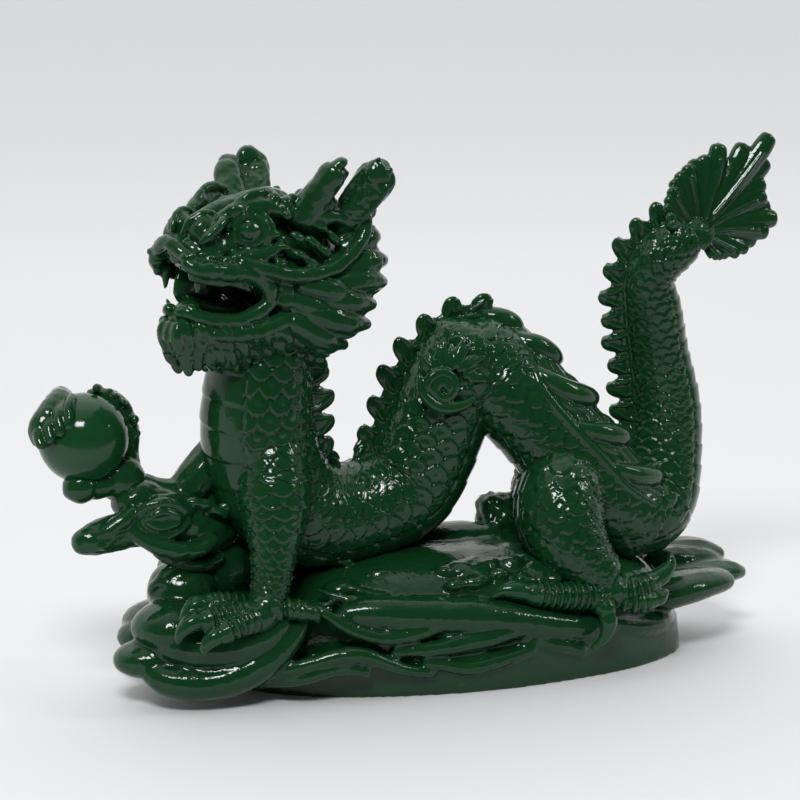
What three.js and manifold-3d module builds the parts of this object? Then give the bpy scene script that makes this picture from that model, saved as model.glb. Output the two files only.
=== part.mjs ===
// A small cast-resin dragon that clasps a pearl and rides on an oval bed of clouds.
// Millimetres. +Z is up, -X is where the dragon faces, and -Y is its left side.
// The origin is the middle of the plinth's flat underside.
//
// The pieces are built up in the order in which a sculptor lays them on. Each is a closed solid,
// and each later piece is cut back around the earlier ones, so a fixed seam parts every two neighbours.
import * as THREE from "three";
import { mergeVertices } from "three/addons/utils/BufferGeometryUtils.js";
import Module from "manifold-3d";

const wasm = await Module();
wasm.setup();

// ---------------------------------------------------------------- driving dimensions
const seam = 0.3; // gap between two neighbouring pieces

const baseLength = 88; // oval plinth
const baseDepth = 38.5;
const plinthHeight = 7;
const moundHeight = 16; // clouds above the plinth, at the middle
const moundFullness = 2.6; // 2 is a plain dome, more is fuller at the shoulders
const cloudThickness = 4.2; // half height of a cloud roll
const headOverhang = 18; // how far the clouds reach past the plinth under the head
const tailOverhang = 14.5; // and under the tail

const bodyRadius = 9;
const tailRadius = 4.3;
const bodySink = 3; // how far the low loops sink into the clouds
const neckInset = 4.3; // neck's axis in from the plinth's front end
const neckTopZ = 63;
const archX = 3.8;
const archZ = 56;
const tailInset = 1.7; // tail's axis in from the plinth's rear end
const tailTopZ = 80;

const crestHeight = 5.8;
const crestThickness = 1.8;
const finLength = 24; // fan at the end of the tail

const headLength = 38; // snout to the back of the skull
const headWidth = 19;
const headYaw = 24; // degrees that the head turns towards its left
const hornLength = 11;

const armReach = 30.5; // from the neck's axis to the pearl's centre
const pearlRadius = 8;
const pearlZ = 46;
const limbRadius = 4;
const clawRadius = 1.9;

// Places that follow from the ones above
const endX = baseLength / 2;
const neckX = neckInset - endX;
const frontLoopX = neckX + 2 * bodyRadius;
const tailX = endX - tailInset;
const rearLoopX = tailX - 7.5;
const moundTop = plinthHeight + moundHeight;
const lowLoopZ = moundTop + bodyRadius - bodySink;
const neckRise = neckTopZ - lowLoopZ;
const archRise = archZ - lowLoopZ;
const tailRise = tailTopZ - lowLoopZ;

// ---------------------------------------------------------------- materials
const resin = new THREE.MeshStandardMaterial({ color: 0x0d3317, roughness: 0.12, metalness: 0 });
const cloudResin = new THREE.MeshStandardMaterial({ color: 0x0b2e14, roughness: 0.1, metalness: 0 });
const pearlResin = new THREE.MeshStandardMaterial({ color: 0x0f3a1a, roughness: 0.07, metalness: 0 });

// ---------------------------------------------------------------- solids
// A closed three.js geometry as a solid that can be cut and joined.
function solidOf(geometry) {
  const bare = geometry.clone();
  bare.deleteAttribute("normal");
  bare.deleteAttribute("uv");
  const merged = mergeVertices(bare, 1e-4);
  const mesh = new wasm.Mesh({
    numProp: 3,
    vertProperties: Float32Array.from(merged.attributes.position.array),
    triVerts: Uint32Array.from(merged.index.array),
  });
  return new wasm.Manifold(mesh);
}

function join(...solids) {
  return solids.reduce((whole, solid) => whole.add(solid));
}

// An ellipsoid about a centre. More detail gives more facets.
function lump(centre, radii, { grow = 0, detail = 1, frame } = {}) {
  const geometry = new THREE.IcosahedronGeometry(1, detail);
  geometry.scale(radii[0] + grow, radii[1] + grow, radii[2] + grow);
  geometry.translate(...centre);
  if (frame) geometry.applyMatrix4(frame);
  return solidOf(geometry);
}

const pointOf = ([x, y, z]) => new THREE.Vector3(x, y, z);

// A solid drawn along a smooth line. Each station is [x, y, z, half width, half height].
// The width lies near "across", and the height stands square to the line; twist(station) turns
// both about the line, in degrees. from and to pick a stretch of the stations, by number.
function drawn(stations, options = {}) {
  const { grow = 0, sides = 8, from = 0, to = stations.length - 1, twist = () => 0, frame } = options;
  const across = options.across ?? new THREE.Vector3(0, 1, 0);
  const steps = options.steps ?? Math.ceil(2 * (to - from));
  const line = new THREE.CatmullRomCurve3(stations.map(pointOf));
  const sizes = new THREE.CatmullRomCurve3(
    stations.map(([, , , width, height = width]) => new THREE.Vector3(width, height, 0)),
  );
  const geometry = new THREE.CylinderGeometry(1, 1, 1, sides, steps);
  const vertex = new THREE.Vector3();
  for (let i = 0; i < geometry.attributes.position.count; i++) {
    vertex.fromBufferAttribute(geometry.attributes.position, i);
    const share = vertex.y + 0.5;
    const station = from + share * (to - from);
    const t = station / (stations.length - 1);
    const tangent = line.getTangent(t);
    const up = tangent.clone().cross(across).normalize();
    up.applyAxisAngle(tangent, THREE.MathUtils.degToRad(twist(station)));
    const side = tangent.clone().cross(up);
    const size = sizes.getPoint(t);
    const endGrowth = Math.abs(vertex.y) > 0.5 - 1e-6 ? Math.sign(vertex.y) * grow : 0;
    const place = line.getPoint(t).addScaledVector(tangent, endGrowth);
    place.addScaledVector(side, vertex.x * (size.x + grow));
    place.addScaledVector(up, vertex.z * (size.y + grow));
    geometry.attributes.position.setXYZ(i, place.x, place.y, place.z);
  }
  if (frame) geometry.applyMatrix4(frame);
  return solidOf(geometry);
}

// Height of the cloud mound at a place on the base.
function ground(x, y) {
  const out = Math.hypot((2 * x) / baseLength, (2 * y) / baseDepth);
  return plinthHeight + moundHeight * Math.max(0, 1 - out ** moundFullness) ** (1 / moundFullness);
}

// ---------------------------------------------------------------- the list of pieces
const pieces = [];

// shape is a function of how far the piece is grown on every side.
function piece(section, name, material, shape) {
  pieces.push({ section, name, material, shape });
}

// ---------------------------------------------------------------- base
function plinth(grow) {
  const outline = new THREE.Shape().absellipse(
    0, 0, baseLength / 2 + grow, baseDepth / 2 + grow, 0, 2 * Math.PI,
  );
  const options = { depth: plinthHeight + grow, bevelEnabled: false, curveSegments: 32 };
  return solidOf(new THREE.ExtrudeGeometry(outline, options));
}

function mound(grow) {
  const profile = [new THREE.Vector2(0, 0)];
  const rings = 5;
  for (let i = 0; i <= rings; i++) {
    const angle = (i / rings) * (Math.PI / 2);
    const power = 2 / moundFullness;
    profile.push(new THREE.Vector2(Math.cos(angle) ** power, Math.sin(angle) ** power));
  }
  profile[profile.length - 1].x = 0;
  const geometry = new THREE.LatheGeometry(profile, 24);
  geometry.rotateX(Math.PI / 2);
  geometry.scale(baseLength / 2 - 2 + grow, baseDepth / 2 - 1 + grow, moundHeight + grow);
  geometry.translate(0, 0, plinthHeight);
  return solidOf(geometry);
}

// A long roll of cloud that hugs the plinth's oval, from one angle to another.
// Angles run anticlockwise from +X, seen from above.
function cloudRoll(start, end, z, out, radius) {
  const stations = [];
  const count = 6;
  for (let i = 0; i < count; i++) {
    const angle = THREE.MathUtils.degToRad(start + ((end - start) * i) / (count - 1));
    const x = (baseLength / 2 + out) * Math.cos(angle);
    const y = (baseDepth / 2 + out) * Math.sin(angle);
    const size = i === 0 || i === count - 1 ? 0.35 * radius : radius;
    stations.push([x, y, z, size]);
  }
  return (grow) => drawn(stations, { grow, sides: 7, steps: 8, across: new THREE.Vector3(0, 0, 1) });
}

piece("base", "base_plinth", cloudResin, plinth);
piece("base", "base_mound", cloudResin, mound);

const rolls = [
  ["cloud_swirl_front_1", 222, 268, plinthHeight + 1.5, -1.8, 0.85],
  ["cloud_swirl_front_2", 262, 318, plinthHeight + 1, -1.8, 0.8],
  ["cloud_swirl_front_3", 228, 300, plinthHeight + 6.5, -4.5, 0.8],
  ["cloud_swirl_back_1", 136, 92, plinthHeight + 1.5, -1.8, 0.85],
  ["cloud_swirl_back_2", 98, 30, plinthHeight + 1, -1.8, 0.8],
];
for (const [name, start, end, z, out, share] of rolls) {
  piece("base", name, cloudResin, cloudRoll(start, end, z, out, share * cloudThickness));
}

// Rounded puffs at the head end: [name, beyond the plinth, y, z, radii]
const puffs = [
  ["cloud_puff_left_1", headOverhang - 8, -2, moundTop - 5, [6.5, 7, 6]],
  ["cloud_puff_left_2", headOverhang - 9, -11, plinthHeight + 7, [11, 7.5, 4.4]],
  ["cloud_puff_left_3", headOverhang - 3, -9, plinthHeight + 2.6, [9, 6, 3.2]],
  ["cloud_puff_left_4", headOverhang - 11, -12, plinthHeight - 0.4, [10, 6.5, 3.6]],
  ["cloud_puff_left_5", headOverhang - 13, 8, plinthHeight + 4.5, [11, 8, 4.6]],
];
for (const [name, beyond, y, z, radii] of puffs) {
  piece("base", name, cloudResin, (grow) => lump([-endX - beyond, y, z], radii, { grow, detail: 2 }));
}

// Flat petals of cloud that sweep out under the tail: [name, tip beyond the plinth, y, z]
const petals = [
  ["cloud_petal_right_1", tailOverhang, 3, plinthHeight + 4.5],
  ["cloud_petal_right_2", tailOverhang - 3, 9, plinthHeight + 7],
  ["cloud_petal_right_3", tailOverhang - 13, -6, plinthHeight + 2],
];
for (const [name, beyond, y, z] of petals) {
  const tip = endX + beyond;
  const stations = [
    [tip - 26, 0.6 * y, z, 2, 1.6],
    [tip - 18, 0.8 * y, z + 0.6, 6.5, 3],
    [tip - 9, y, z + 0.6, 6, 2.8],
    [tip, y, z, 1.6, 0.8],
  ];
  piece("base", name, cloudResin, (grow) => drawn(stations, { grow, steps: 6 }));
}

function cloudCurl(grow) {
  const x = rearLoopX - 22;
  const y = 0.32 * baseDepth;
  return lump([x, y, ground(x, y) + 3.5], [6, 4, 5.5], { grow });
}
piece("base", "cloud_curl_back", cloudResin, cloudCurl);

// ---------------------------------------------------------------- body
// Three smooth lines carry the body: neck to arch, arch to rear loop, and rear loop to tail tip.
const neckLine = [
  [neckX + 2.5, -4, neckTopZ + 5, 0.8 * bodyRadius],
  [neckX + 0.8, -4, neckTopZ - 2, 0.95 * bodyRadius],
  [neckX - 0.2, -4, neckTopZ - 0.26 * neckRise, 1.02 * bodyRadius],
  [neckX, -3, neckTopZ - 0.48 * neckRise, 1.08 * bodyRadius],
  [neckX + 2.5, -1, lowLoopZ + 0.26 * neckRise, 1.12 * bodyRadius],
  [neckX + 8.5, 1, lowLoopZ + 2, 1.08 * bodyRadius],
  [frontLoopX, 3, lowLoopZ, bodyRadius],
  [frontLoopX + 11.5, 4, lowLoopZ + 0.13 * archRise, bodyRadius],
  [archX - 8.3, 4, lowLoopZ + 0.385 * archRise, bodyRadius],
  [archX - 4.4, 4, archZ - 0.24 * archRise, bodyRadius],
  [archX + 0.2, 4, archZ + 0.5, bodyRadius],
  [archX + 2.6, 3.8, archZ + 4, 0.85 * bodyRadius],
  [archX + 4.2, 3.6, archZ + 6.6, 0.45 * bodyRadius],
];
const descentLine = [
  [archX - 4, 5, archZ + 3.6, 0.5 * bodyRadius],
  [archX - 1, 4.6, archZ + 1.6, 0.9 * bodyRadius],
  [archX + 4.4, 3, archZ - 0.13 * archRise, bodyRadius],
  [archX + 9.8, 0, archZ - 0.355 * archRise, 0.9 * bodyRadius],
  [rearLoopX - 14.2, -2, lowLoopZ + 0.3 * archRise, 0.9 * bodyRadius],
  [rearLoopX - 7, -2, lowLoopZ + 0.4, 0.92 * bodyRadius],
  [rearLoopX, -0.5, lowLoopZ - 3.6, 0.88 * bodyRadius],
  [rearLoopX + 4.5, 0, lowLoopZ - 5.5, 0.5 * bodyRadius],
];
const tailLine = [
  [rearLoopX - 5, -0.5, lowLoopZ - 5, 0.5 * bodyRadius],
  [rearLoopX, 0, lowLoopZ - 3.6, 0.86 * bodyRadius],
  [rearLoopX + 5, 2, lowLoopZ - 0.5, 0.86 * bodyRadius],
  [tailX, 4, lowLoopZ + 7.5, 0.78 * bodyRadius],
  [tailX + 0.6, 5, lowLoopZ + 0.33 * tailRise, 0.71 * bodyRadius],
  [tailX - 0.8, 5, tailTopZ - 0.47 * tailRise, 0.64 * bodyRadius],
  [tailX - 3.1, 4, tailTopZ - 0.304 * tailRise, 1.25 * tailRadius],
  [tailX - 4.4, 3, tailTopZ - 0.196 * tailRise, 1.08 * tailRadius],
  [tailX - 3.3, 2, tailTopZ - 5.5, tailRadius],
  [tailX, 1, tailTopZ - 1.8, tailRadius],
  [tailX + 4, 1, tailTopZ + 1, 0.85 * tailRadius],
];

// Where the long lines are parted into pieces, by station
const neckEnd = 4;
const frontLoopEnd = 7;
const rearLoopEnd = 4;

function stretch(line, from, to) {
  return (grow) => drawn(line, { grow, sides: 10, from, to, steps: Math.ceil(1.6 * (to - from)) });
}
piece("body", "body_neck", resin, stretch(neckLine, 0, neckEnd));
piece("body", "body_front_loop", resin, stretch(neckLine, neckEnd, frontLoopEnd));
piece("body", "body_arch", resin, stretch(neckLine, frontLoopEnd, neckLine.length - 1));
piece("body", "body_descent", resin, stretch(descentLine, 0, descentLine.length - 1));
piece("body", "body_rear_loop", resin, stretch(tailLine, 0, rearLoopEnd));
piece("body", "body_tail", resin, stretch(tailLine, rearLoopEnd, tailLine.length - 1));

// A strip that lies on the body's skin along a line. angle(i) is measured about the line from the
// back ridge towards the left side, and lift is how far the strip's middle stands off the skin.
function onSkin(line, from, to, count, angle, lift, width, height) {
  const path = new THREE.CatmullRomCurve3(line.map(pointOf));
  const girth = new THREE.CatmullRomCurve3(line.map(([, , , r]) => new THREE.Vector3(r, 0, 0)));
  const stations = [];
  for (let i = 0; i < count; i++) {
    const t = (from + ((to - from) * i) / (count - 1)) / (line.length - 1);
    const tangent = path.getTangent(t);
    const up = tangent.clone().cross(new THREE.Vector3(0, 1, 0)).normalize();
    const out = up.clone().applyAxisAngle(tangent, THREE.MathUtils.degToRad(angle(i)));
    const reach = girth.getPoint(t).x + lift;
    const place = path.getPoint(t).addScaledVector(out, reach);
    stations.push([place.x, place.y, place.z, width(i), height(i)]);
  }
  return stations;
}

// The broad smooth plates down the throat and chest.
const plateStations = onSkin(
  neckLine, 1, neckEnd - 0.4, 5, () => 180, -2.6, () => 0.62 * bodyRadius, () => 3,
);
piece("body", "belly_plates_neck", resin, (grow) => drawn(plateStations, { grow, steps: 6 }));

// A saw-edged crest: a thin strip whose height rises to a tooth at every other station.
function crest(line, from, to, teeth, angle, height) {
  const count = 2 * teeth + 1;
  const tall = (i) => (i % 2 ? height : 0.62 * height);
  const stations = onSkin(line, from, to, count, angle, 0, () => crestThickness / 2, tall);
  return (grow) => drawn(stations, { grow, sides: 4, steps: count - 1, twist: angle });
}
// Past the arch the crest leans over towards the left side.
const upright = () => 0;
const leaning = (i) => Math.min(38, 9 * i);
piece("body", "crest_neck", resin, crest(neckLine, 1.6, 6, 6, upright, 0.65 * crestHeight));
piece("body", "crest_arch", resin, crest(neckLine, 6.3, 11.4, 6, upright, crestHeight));
piece("body", "crest_descent", resin, crest(descentLine, 0.9, 6.1, 7, leaning, 0.75 * crestHeight));
piece("body", "crest_tail", resin, crest(tailLine, 2.4, 9, 8, upright, crestHeight));

// A curled lock of mane on the left flank, under the arch.
function flankScroll(grow) {
  const x = archX - 7;
  const y = 4 - bodyRadius;
  return lump([x, y, archZ - 4], [6.5, 3, 6.5], { grow, detail: 2 });
}
piece("body", "flank_scroll", resin, flankScroll);

// The tail ends in a fan of pointed lobes. Each lobe is [angle above +X, share of the length].
function tailFin(grow) {
  const root = [tailX + 4, 1, tailTopZ - 1.6];
  const lobes = [[132, 0.38], [94, 0.56], [71, 0.77], [49, 1], [28, 0.78], [3, 0.72], [-46, 0.38]];
  const leaves = lobes.map(([angle, share]) => {
    const turn = THREE.MathUtils.degToRad(angle);
    const reach = share * finLength;
    const along = (part, lift) => [
      root[0] + part * reach * Math.cos(turn),
      root[1] + lift,
      root[2] + part * reach * Math.sin(turn),
    ];
    const stations = [
      [...along(0, 0), 1.6, 1.4],
      [...along(0.45, 0.8), 1.7, 3.3],
      [...along(0.8, 1.8), 1.3, 2.2],
      [...along(1, 2.4), 0.5, 0.4],
    ];
    return drawn(stations, { grow, sides: 6, steps: 4 });
  });
  return join(...leaves);
}
piece("body", "tail_fin", resin, tailFin);

// ---------------------------------------------------------------- head
// The head has its own frame: -X runs out along the snout, and +Z is up.
const headFrame = new THREE.Matrix4()
  .makeRotationZ(THREE.MathUtils.degToRad(headYaw))
  .setPosition(neckX + 4.3, -4.5, neckTopZ + 13.6);
const halfWidth = headWidth / 2;
const snoutX = -0.66 * headLength;
const skullBackX = headLength + snoutX;

const inHead = (stations, options) => drawn(stations, { ...options, frame: headFrame });
const headLump = (centre, radii, options) => lump(centre, radii, { ...options, frame: headFrame });

piece("head", "head_skull", resin, (grow) =>
  headLump([0.5, 0, 2.5], [skullBackX - 0.5, halfWidth, 9], { grow, detail: 2 }));

function upperJaw(grow) {
  const stations = [
    [-6, 0, 5, 0.8 * halfWidth, 5.5],
    [-13, 0, 5.4, 0.66 * halfWidth, 4.8],
    [snoutX + 5, 0, 4.4, 0.6 * halfWidth, 4],
    [snoutX + 1, 0, 4.2, 0.5 * halfWidth, 3],
    [snoutX - 0.8, 0, 5, 0.25 * halfWidth, 1.4],
  ];
  return inHead(stations, { grow, sides: 10, steps: 6 });
}
piece("head", "snout", resin, upperJaw);

function nose(grow) {
  const nostrils = [-1, 1].map((side) => headLump([snoutX + 7, 2.8 * side, 8.2], [3, 2.7, 2.7], { grow }));
  const bridge = headLump([snoutX + 10, 0, 9], [4, 2.5, 2.2], { grow });
  return join(...nostrils, bridge);
}
piece("head", "nose", resin, nose);

function lowerJaw(grow) {
  const stations = [
    [-4, 0, -7, 0.72 * halfWidth, 4],
    [-11, 0, -8.8, 0.62 * halfWidth, 2.8],
    [snoutX + 6.5, 0, -8.4, 0.5 * halfWidth, 2.2],
    [snoutX + 2.2, 0, -6.4, 0.3 * halfWidth, 1.4],
  ];
  return inHead(stations, { grow, sides: 10, steps: 6 });
}
piece("head", "lower_jaw", resin, lowerJaw);

function tongue(grow) {
  const stations = [
    [-9, 0, -4.4, 2.8, 1.6],
    [-14.5, 0, -4.6, 3, 1.4],
    [snoutX + 6, 0, -4, 1.6, 0.9],
  ];
  return inHead(stations, { grow, steps: 4 });
}
piece("head", "tongue", resin, tongue);

// Everything below comes in a left and a right copy. side is -1 on the dragon's left.
for (const [hand, side] of [["left", -1], ["right", 1]]) {
  const wide = side * halfWidth;

  const fang = [
    [snoutX + 5, 0.36 * wide, 1.6, 1.3],
    [snoutX + 4.6, 0.38 * wide, -0.6, 1],
    [snoutX + 4.4, 0.39 * wide, -2.8, 0.35],
  ];
  piece("head", "fang_" + hand, resin, (grow) => inHead(fang, { grow, steps: 2, sides: 6 }));

  const eye = [-11.3, 0.72 * wide, 7.6];
  piece("head", "eye_" + hand, resin, (grow) => headLump(eye, [2.6, 2.1, 2.5], { grow }));

  const brow = [
    [-16, 0.42 * wide, 10, 1.2],
    [-12.5, 0.62 * wide, 11.2, 1.9, 2],
    [-7, 0.84 * wide, 11, 1.9, 2],
    [-3, 0.92 * wide, 8.8, 1.2],
  ];
  piece("head", "brow_" + hand, resin, (grow) => inHead(brow, { grow, steps: 5, sides: 6 }));

  // The cheek ridge runs back from the mouth corner and turns up to the ear.
  const whisker = [
    [-15, 0.76 * wide, 1.6, 1.1],
    [-9.7, 0.98 * wide, 0, 1.7],
    [-5, 1.12 * wide, -0.6, 1.8],
    [0, 1.22 * wide, 0, 1.8],
    [4, 1.28 * wide, 1.4, 1.8],
    [7.5, 1.3 * wide, 4.5, 1.7],
    [9.2, 1.24 * wide, 9, 1.2],
  ];
  piece("head", "whisker_" + hand, resin, (grow) => inHead(whisker, { grow, steps: 9, sides: 6 }));

  const horn = [
    [-3, 0.7 * wide, 6.5, 3.2],
    [-1.4, 0.95 * wide, 10.4, 2.8],
    [0.2, 1.2 * wide, 9.6 + 0.45 * hornLength, 2.3],
    [1.8, 1.48 * wide, 6.6 + hornLength, 1.5],
  ];
  piece("head", "horn_" + hand, resin, (grow) => inHead(horn, { grow, steps: 4 }));

  const ear = [
    [4.5, 0.85 * wide, 5, 2.4, 2],
    [7, 1.12 * wide, 9.5, 3, 2.2],
    [8.4, 1.53 * wide, 9 + 0.5 * hornLength, 3, 2],
    [9.6, 1.82 * wide, 6.8 + hornLength, 1.6, 1.2],
  ];
  piece("head", "ear_" + hand, resin, (grow) => inHead(ear, { grow, steps: 5 }));

  // Flame-like locks behind the jaw
  const lockTips = [
    [15.5, 0.95 * wide, 2.4],
    [16, 0.95 * wide, -2.5],
    [13.8, 0.9 * wide, -8],
    [10.5, 0.85 * wide, -13],
  ];
  const sideLock = ([x, y, z]) => [
    [-3, 0.6 * wide, -3, 3.5],
    [0.5 * x, 0.95 * wide, 0.6 * z - 1, 4.2, 3.6],
    [x, y, z, 1],
  ];
  piece("head", "mane_" + hand, resin, (grow) => locks(lockTips.map(sideLock), grow));
}

// Locks of hair, each drawn through its own stations and all grown together at the roots.
function locks(list, grow) {
  return join(...list.map((stations) => inHead(stations, { grow, sides: 6, steps: 3 })));
}

function backMane(grow) {
  const nape = headLump([7.5, 0, -3.5], [6.5, 7, 9], { grow });
  const upper = [[8, 0, -2, 3], [14, 0, -4, 2.2], [18, 0, -3, 0.6]];
  const lower = [[6, 0, -8, 3], [11, 0, -11, 2], [14.5, 0, -12, 0.6]];
  return nape.add(locks([upper, lower], grow));
}
piece("head", "mane_back", resin, backMane);

function beard(grow) {
  const tips = [
    [snoutX + 1, -2, -12],
    [snoutX + 4, 2.5, -14.5],
    [-19, -3.5, -15.5],
    [-13.5, 3.5, -16.5],
    [-12.5, -5.5, -15],
  ];
  const chinLock = ([x, y, z]) => [
    [-12, 0.4 * y, -9.5, 3.6],
    [0.5 * (x - 12), 0.8 * y, 0.5 * (z - 10.5), 3],
    [x, y, z, 1.3],
  ];
  return locks(tips.map(chinLock), grow);
}
piece("head", "beard", resin, beard);

// ---------------------------------------------------------------- limbs
// A toe that ends in a claw: three stations swell at the knuckle and run out to a point.
function toe(root, knuckle, tip, grow) {
  const middle = knuckle.map((value, axis) => 0.5 * (value + tip[axis]));
  const stations = [
    [...root, clawRadius],
    [...knuckle, 1.15 * clawRadius],
    [...middle, 0.95 * clawRadius],
    [...tip, 0.3 * clawRadius],
  ];
  const sideways = Math.abs(tip[1] - root[1]) > Math.abs(tip[0] - root[0]);
  const across = sideways ? new THREE.Vector3(1, 0, 0) : new THREE.Vector3(0, 1, 0);
  return drawn(stations, { grow, sides: 6, steps: 5, across });
}

// Left foreleg: straight down from the shoulder to a paw on the front clouds.
const leftFore = [
  [neckX + 2, -7, lowLoopZ + 12, 1.3 * limbRadius],
  [neckX + 1, -10.5, lowLoopZ + 5, 1.3 * limbRadius],
  [neckX, -12.5, lowLoopZ - 3, 1.05 * limbRadius],
  [neckX - 1.5, -14, moundTop - 3, 0.9 * limbRadius],
  [neckX - 2.5, -14.5, moundTop - 6, 0.7 * limbRadius],
];
piece("limbs", "foreleg_left", resin, (grow) => drawn(leftFore, { grow, steps: 6 }));

function leftPaw(grow) {
  const [x, y, z] = [neckX - 5, -15.5, moundTop - 6];
  return join(
    lump([x, y, z], [5, 4, 3.4], { grow }),
    toe([x - 2, y + 1, z + 0.5], [x - 6, y + 0.5, z + 2.2], [x - 11.5, y - 1, z + 2.6], grow),
    toe([x - 2, y - 1, z], [x - 7, y - 3, z + 0.6], [x - 14.5, y - 4.5, z - 1], grow),
    toe([x, y - 2, z], [x - 3.5, y - 4, z - 1], [x - 8, y - 5, z - 4], grow),
    toe([x + 2, y - 1, z], [x + 5, y - 1.5, z + 0.5], [x + 8.5, y - 2, z - 2], grow),
  );
}
piece("limbs", "forepaw_left", resin, leftPaw);

// Right foreleg: reaches forward from the chest and holds up the pearl.
const pearl = [neckX - armReach, 0, pearlZ];
const wrist = [pearl[0] + 0.94 * pearlRadius, -1.5, pearlZ - pearlRadius - 1.5];
const rightUpper = [
  [neckX + 1, 4, lowLoopZ + 9, 1.2 * limbRadius],
  [neckX - 3.5, 5.5, lowLoopZ + 5, 1.3 * limbRadius],
  [neckX - 8, 3, lowLoopZ + 1.5, 1.2 * limbRadius],
  [neckX - 10, 1, lowLoopZ + 1, 0.9 * limbRadius],
];
const rightFore = [
  [neckX - 5, 1.5, lowLoopZ - 0.5, 0.8 * limbRadius],
  [neckX - 10, 0, lowLoopZ + 1, 1.35 * limbRadius, 1.2 * limbRadius],
  [0.5 * (neckX - 14 + wrist[0]), -1.5, 0.5 * (lowLoopZ + wrist[2]) + 1, 1.35 * limbRadius],
  [...wrist, 1.05 * limbRadius, 0.95 * limbRadius],
];
piece("limbs", "foreleg_right_upper", resin, (grow) => drawn(rightUpper, { grow, steps: 5 }));
piece("limbs", "foreleg_right_forearm", resin, (grow) => drawn(rightFore, { grow, steps: 5 }));
piece("limbs", "pearl", pearlResin, (grow) =>
  lump(pearl, [pearlRadius, pearlRadius, pearlRadius], { grow, detail: 3 }));

// The paw clasps the pearl: a palm below it, three toes round it, and a spur that hangs free.
function rightPaw(grow) {
  const [x, y, z] = pearl;
  const r = pearlRadius;
  const palm = lump([wrist[0] - 0.8, wrist[1] + 0.5, wrist[2] + 1], [4.4, 4, 4.6], { grow });
  const behind = [
    [wrist[0] + 0.5, wrist[1] + 2, wrist[2] + 2, 2.4],
    [x + 0.95 * r, y + 0.5 * r, z - 1, 2.3],
    [x + 0.75 * r, y + 0.5 * r, z + 0.7 * r, 2],
    [x + 0.2 * r, y + 0.5 * r, z + 0.98 * r, 1.2],
  ];
  const over = [
    [wrist[0] - 2, wrist[1] + 4, wrist[2] + 2, 2.4],
    [x, y + 1.02 * r, z - 2, 2.4],
    [x - 0.5 * r, y + 0.85 * r, z + 0.75 * r, 2.2],
    [x - 0.85 * r, y, z + 0.75 * r, 2.4],
    [x - 0.98 * r, y - 0.35 * r, z + 0.35 * r, 2.1],
    [x - 0.9 * r, y - 0.6 * r, z - 0.05 * r, 0.9],
  ];
  const under = [
    [wrist[0] - 2, wrist[1], wrist[2] + 1, 2.2],
    [x + 0.15 * r, y - 0.3 * r, z - 1.05 * r, 2],
    [x - 0.45 * r, y - 0.4 * r, z - 0.95 * r, 1.1],
  ];
  const sideways = new THREE.Vector3(1, 0, 0);
  const spurRoot = [wrist[0], wrist[1] - 1, wrist[2]];
  const spurKnuckle = [wrist[0] - 5, wrist[1] - 3.5, wrist[2] - 4];
  return join(
    palm,
    drawn(behind, { grow, sides: 6, steps: 5 }),
    drawn(over, { grow, sides: 6, steps: 8, across: sideways }),
    drawn(under, { grow, sides: 6, steps: 4 }),
    toe(spurRoot, spurKnuckle, [x - 3.5, y - 6, z - r - 9], grow),
  );
}
piece("limbs", "forepaw_right", resin, rightPaw);

// Hind legs: a heavy thigh, and a foot that grips the mound with long toes.
// side is -1 on the left. The right leg stands a little further back.
const hipPlace = (side) => rearLoopX - (side < 0 ? 13 : 7);
function hindLeg(side) {
  const hipX = hipPlace(side);
  return [
    [hipX + 1, -1 + 3.5 * side, lowLoopZ + 6, 1.5 * limbRadius],
    [hipX - 4, 8.5 * side, lowLoopZ + 0.5, 1.8 * limbRadius],
    [hipX - 5, 11.5 * side, lowLoopZ - 6, 1.5 * limbRadius],
    [hipX - 2, 13.5 * side, moundTop - 4.5, 1.15 * limbRadius],
    [hipX + 2, 15 * side, moundTop - 7, 0.8 * limbRadius],
  ];
}
function hindPaw(side, grow) {
  const x = hipPlace(side);
  const y = 15.5 * side;
  const z = moundTop - 7.5;
  return join(
    lump([x + 1, y, z], [5.5, 3.6, 3.6], { grow }),
    toe([x - 1, y, z], [x - 9, y + 1.2 * side, z + 1], [x - 20, y + 0.5 * side, z + 2.6], grow),
    toe([x + 2, y, z + 0.5], [x + 8, y + 1 * side, z], [x + 14.5, y - 1 * side, z + 2.2], grow),
    toe([x - 1, y + 1 * side, z], [x - 2, y + 4 * side, z - 3.6], [x - 4.6, y + 3.6 * side, z - 9.6], grow),
  );
}
for (const [hand, side] of [["left", -1], ["right", 1]]) {
  piece("limbs", "hindleg_" + hand, resin, (grow) => drawn(hindLeg(side), { grow, steps: 6 }));
  piece("limbs", "hindpaw_" + hand, resin, (grow) => hindPaw(side, grow));
}

// ---------------------------------------------------------------- assembly
// The biggest body that a cut leaves; a neighbour can nick off a stray crumb.
function mainBody(solid) {
  return solid.decompose().reduce((best, body) => (body.volume() > best.volume() ? body : best));
}

// A mesh about the middle of its own box, placed by its position.
function meshOf(name, solid, material) {
  const { vertProperties, triVerts } = solid.getMesh();
  const geometry = new THREE.BufferGeometry()
    .setAttribute("position", new THREE.BufferAttribute(vertProperties, 3))
    .setIndex(new THREE.BufferAttribute(triVerts, 1));
  geometry.computeBoundingBox();
  const middle = geometry.boundingBox.getCenter(new THREE.Vector3());
  geometry.translate(-middle.x, -middle.y, -middle.z);
  geometry.computeVertexNormals();
  const mesh = new THREE.Mesh(geometry, material);
  mesh.name = name;
  mesh.position.copy(middle);
  return mesh;
}

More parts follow.
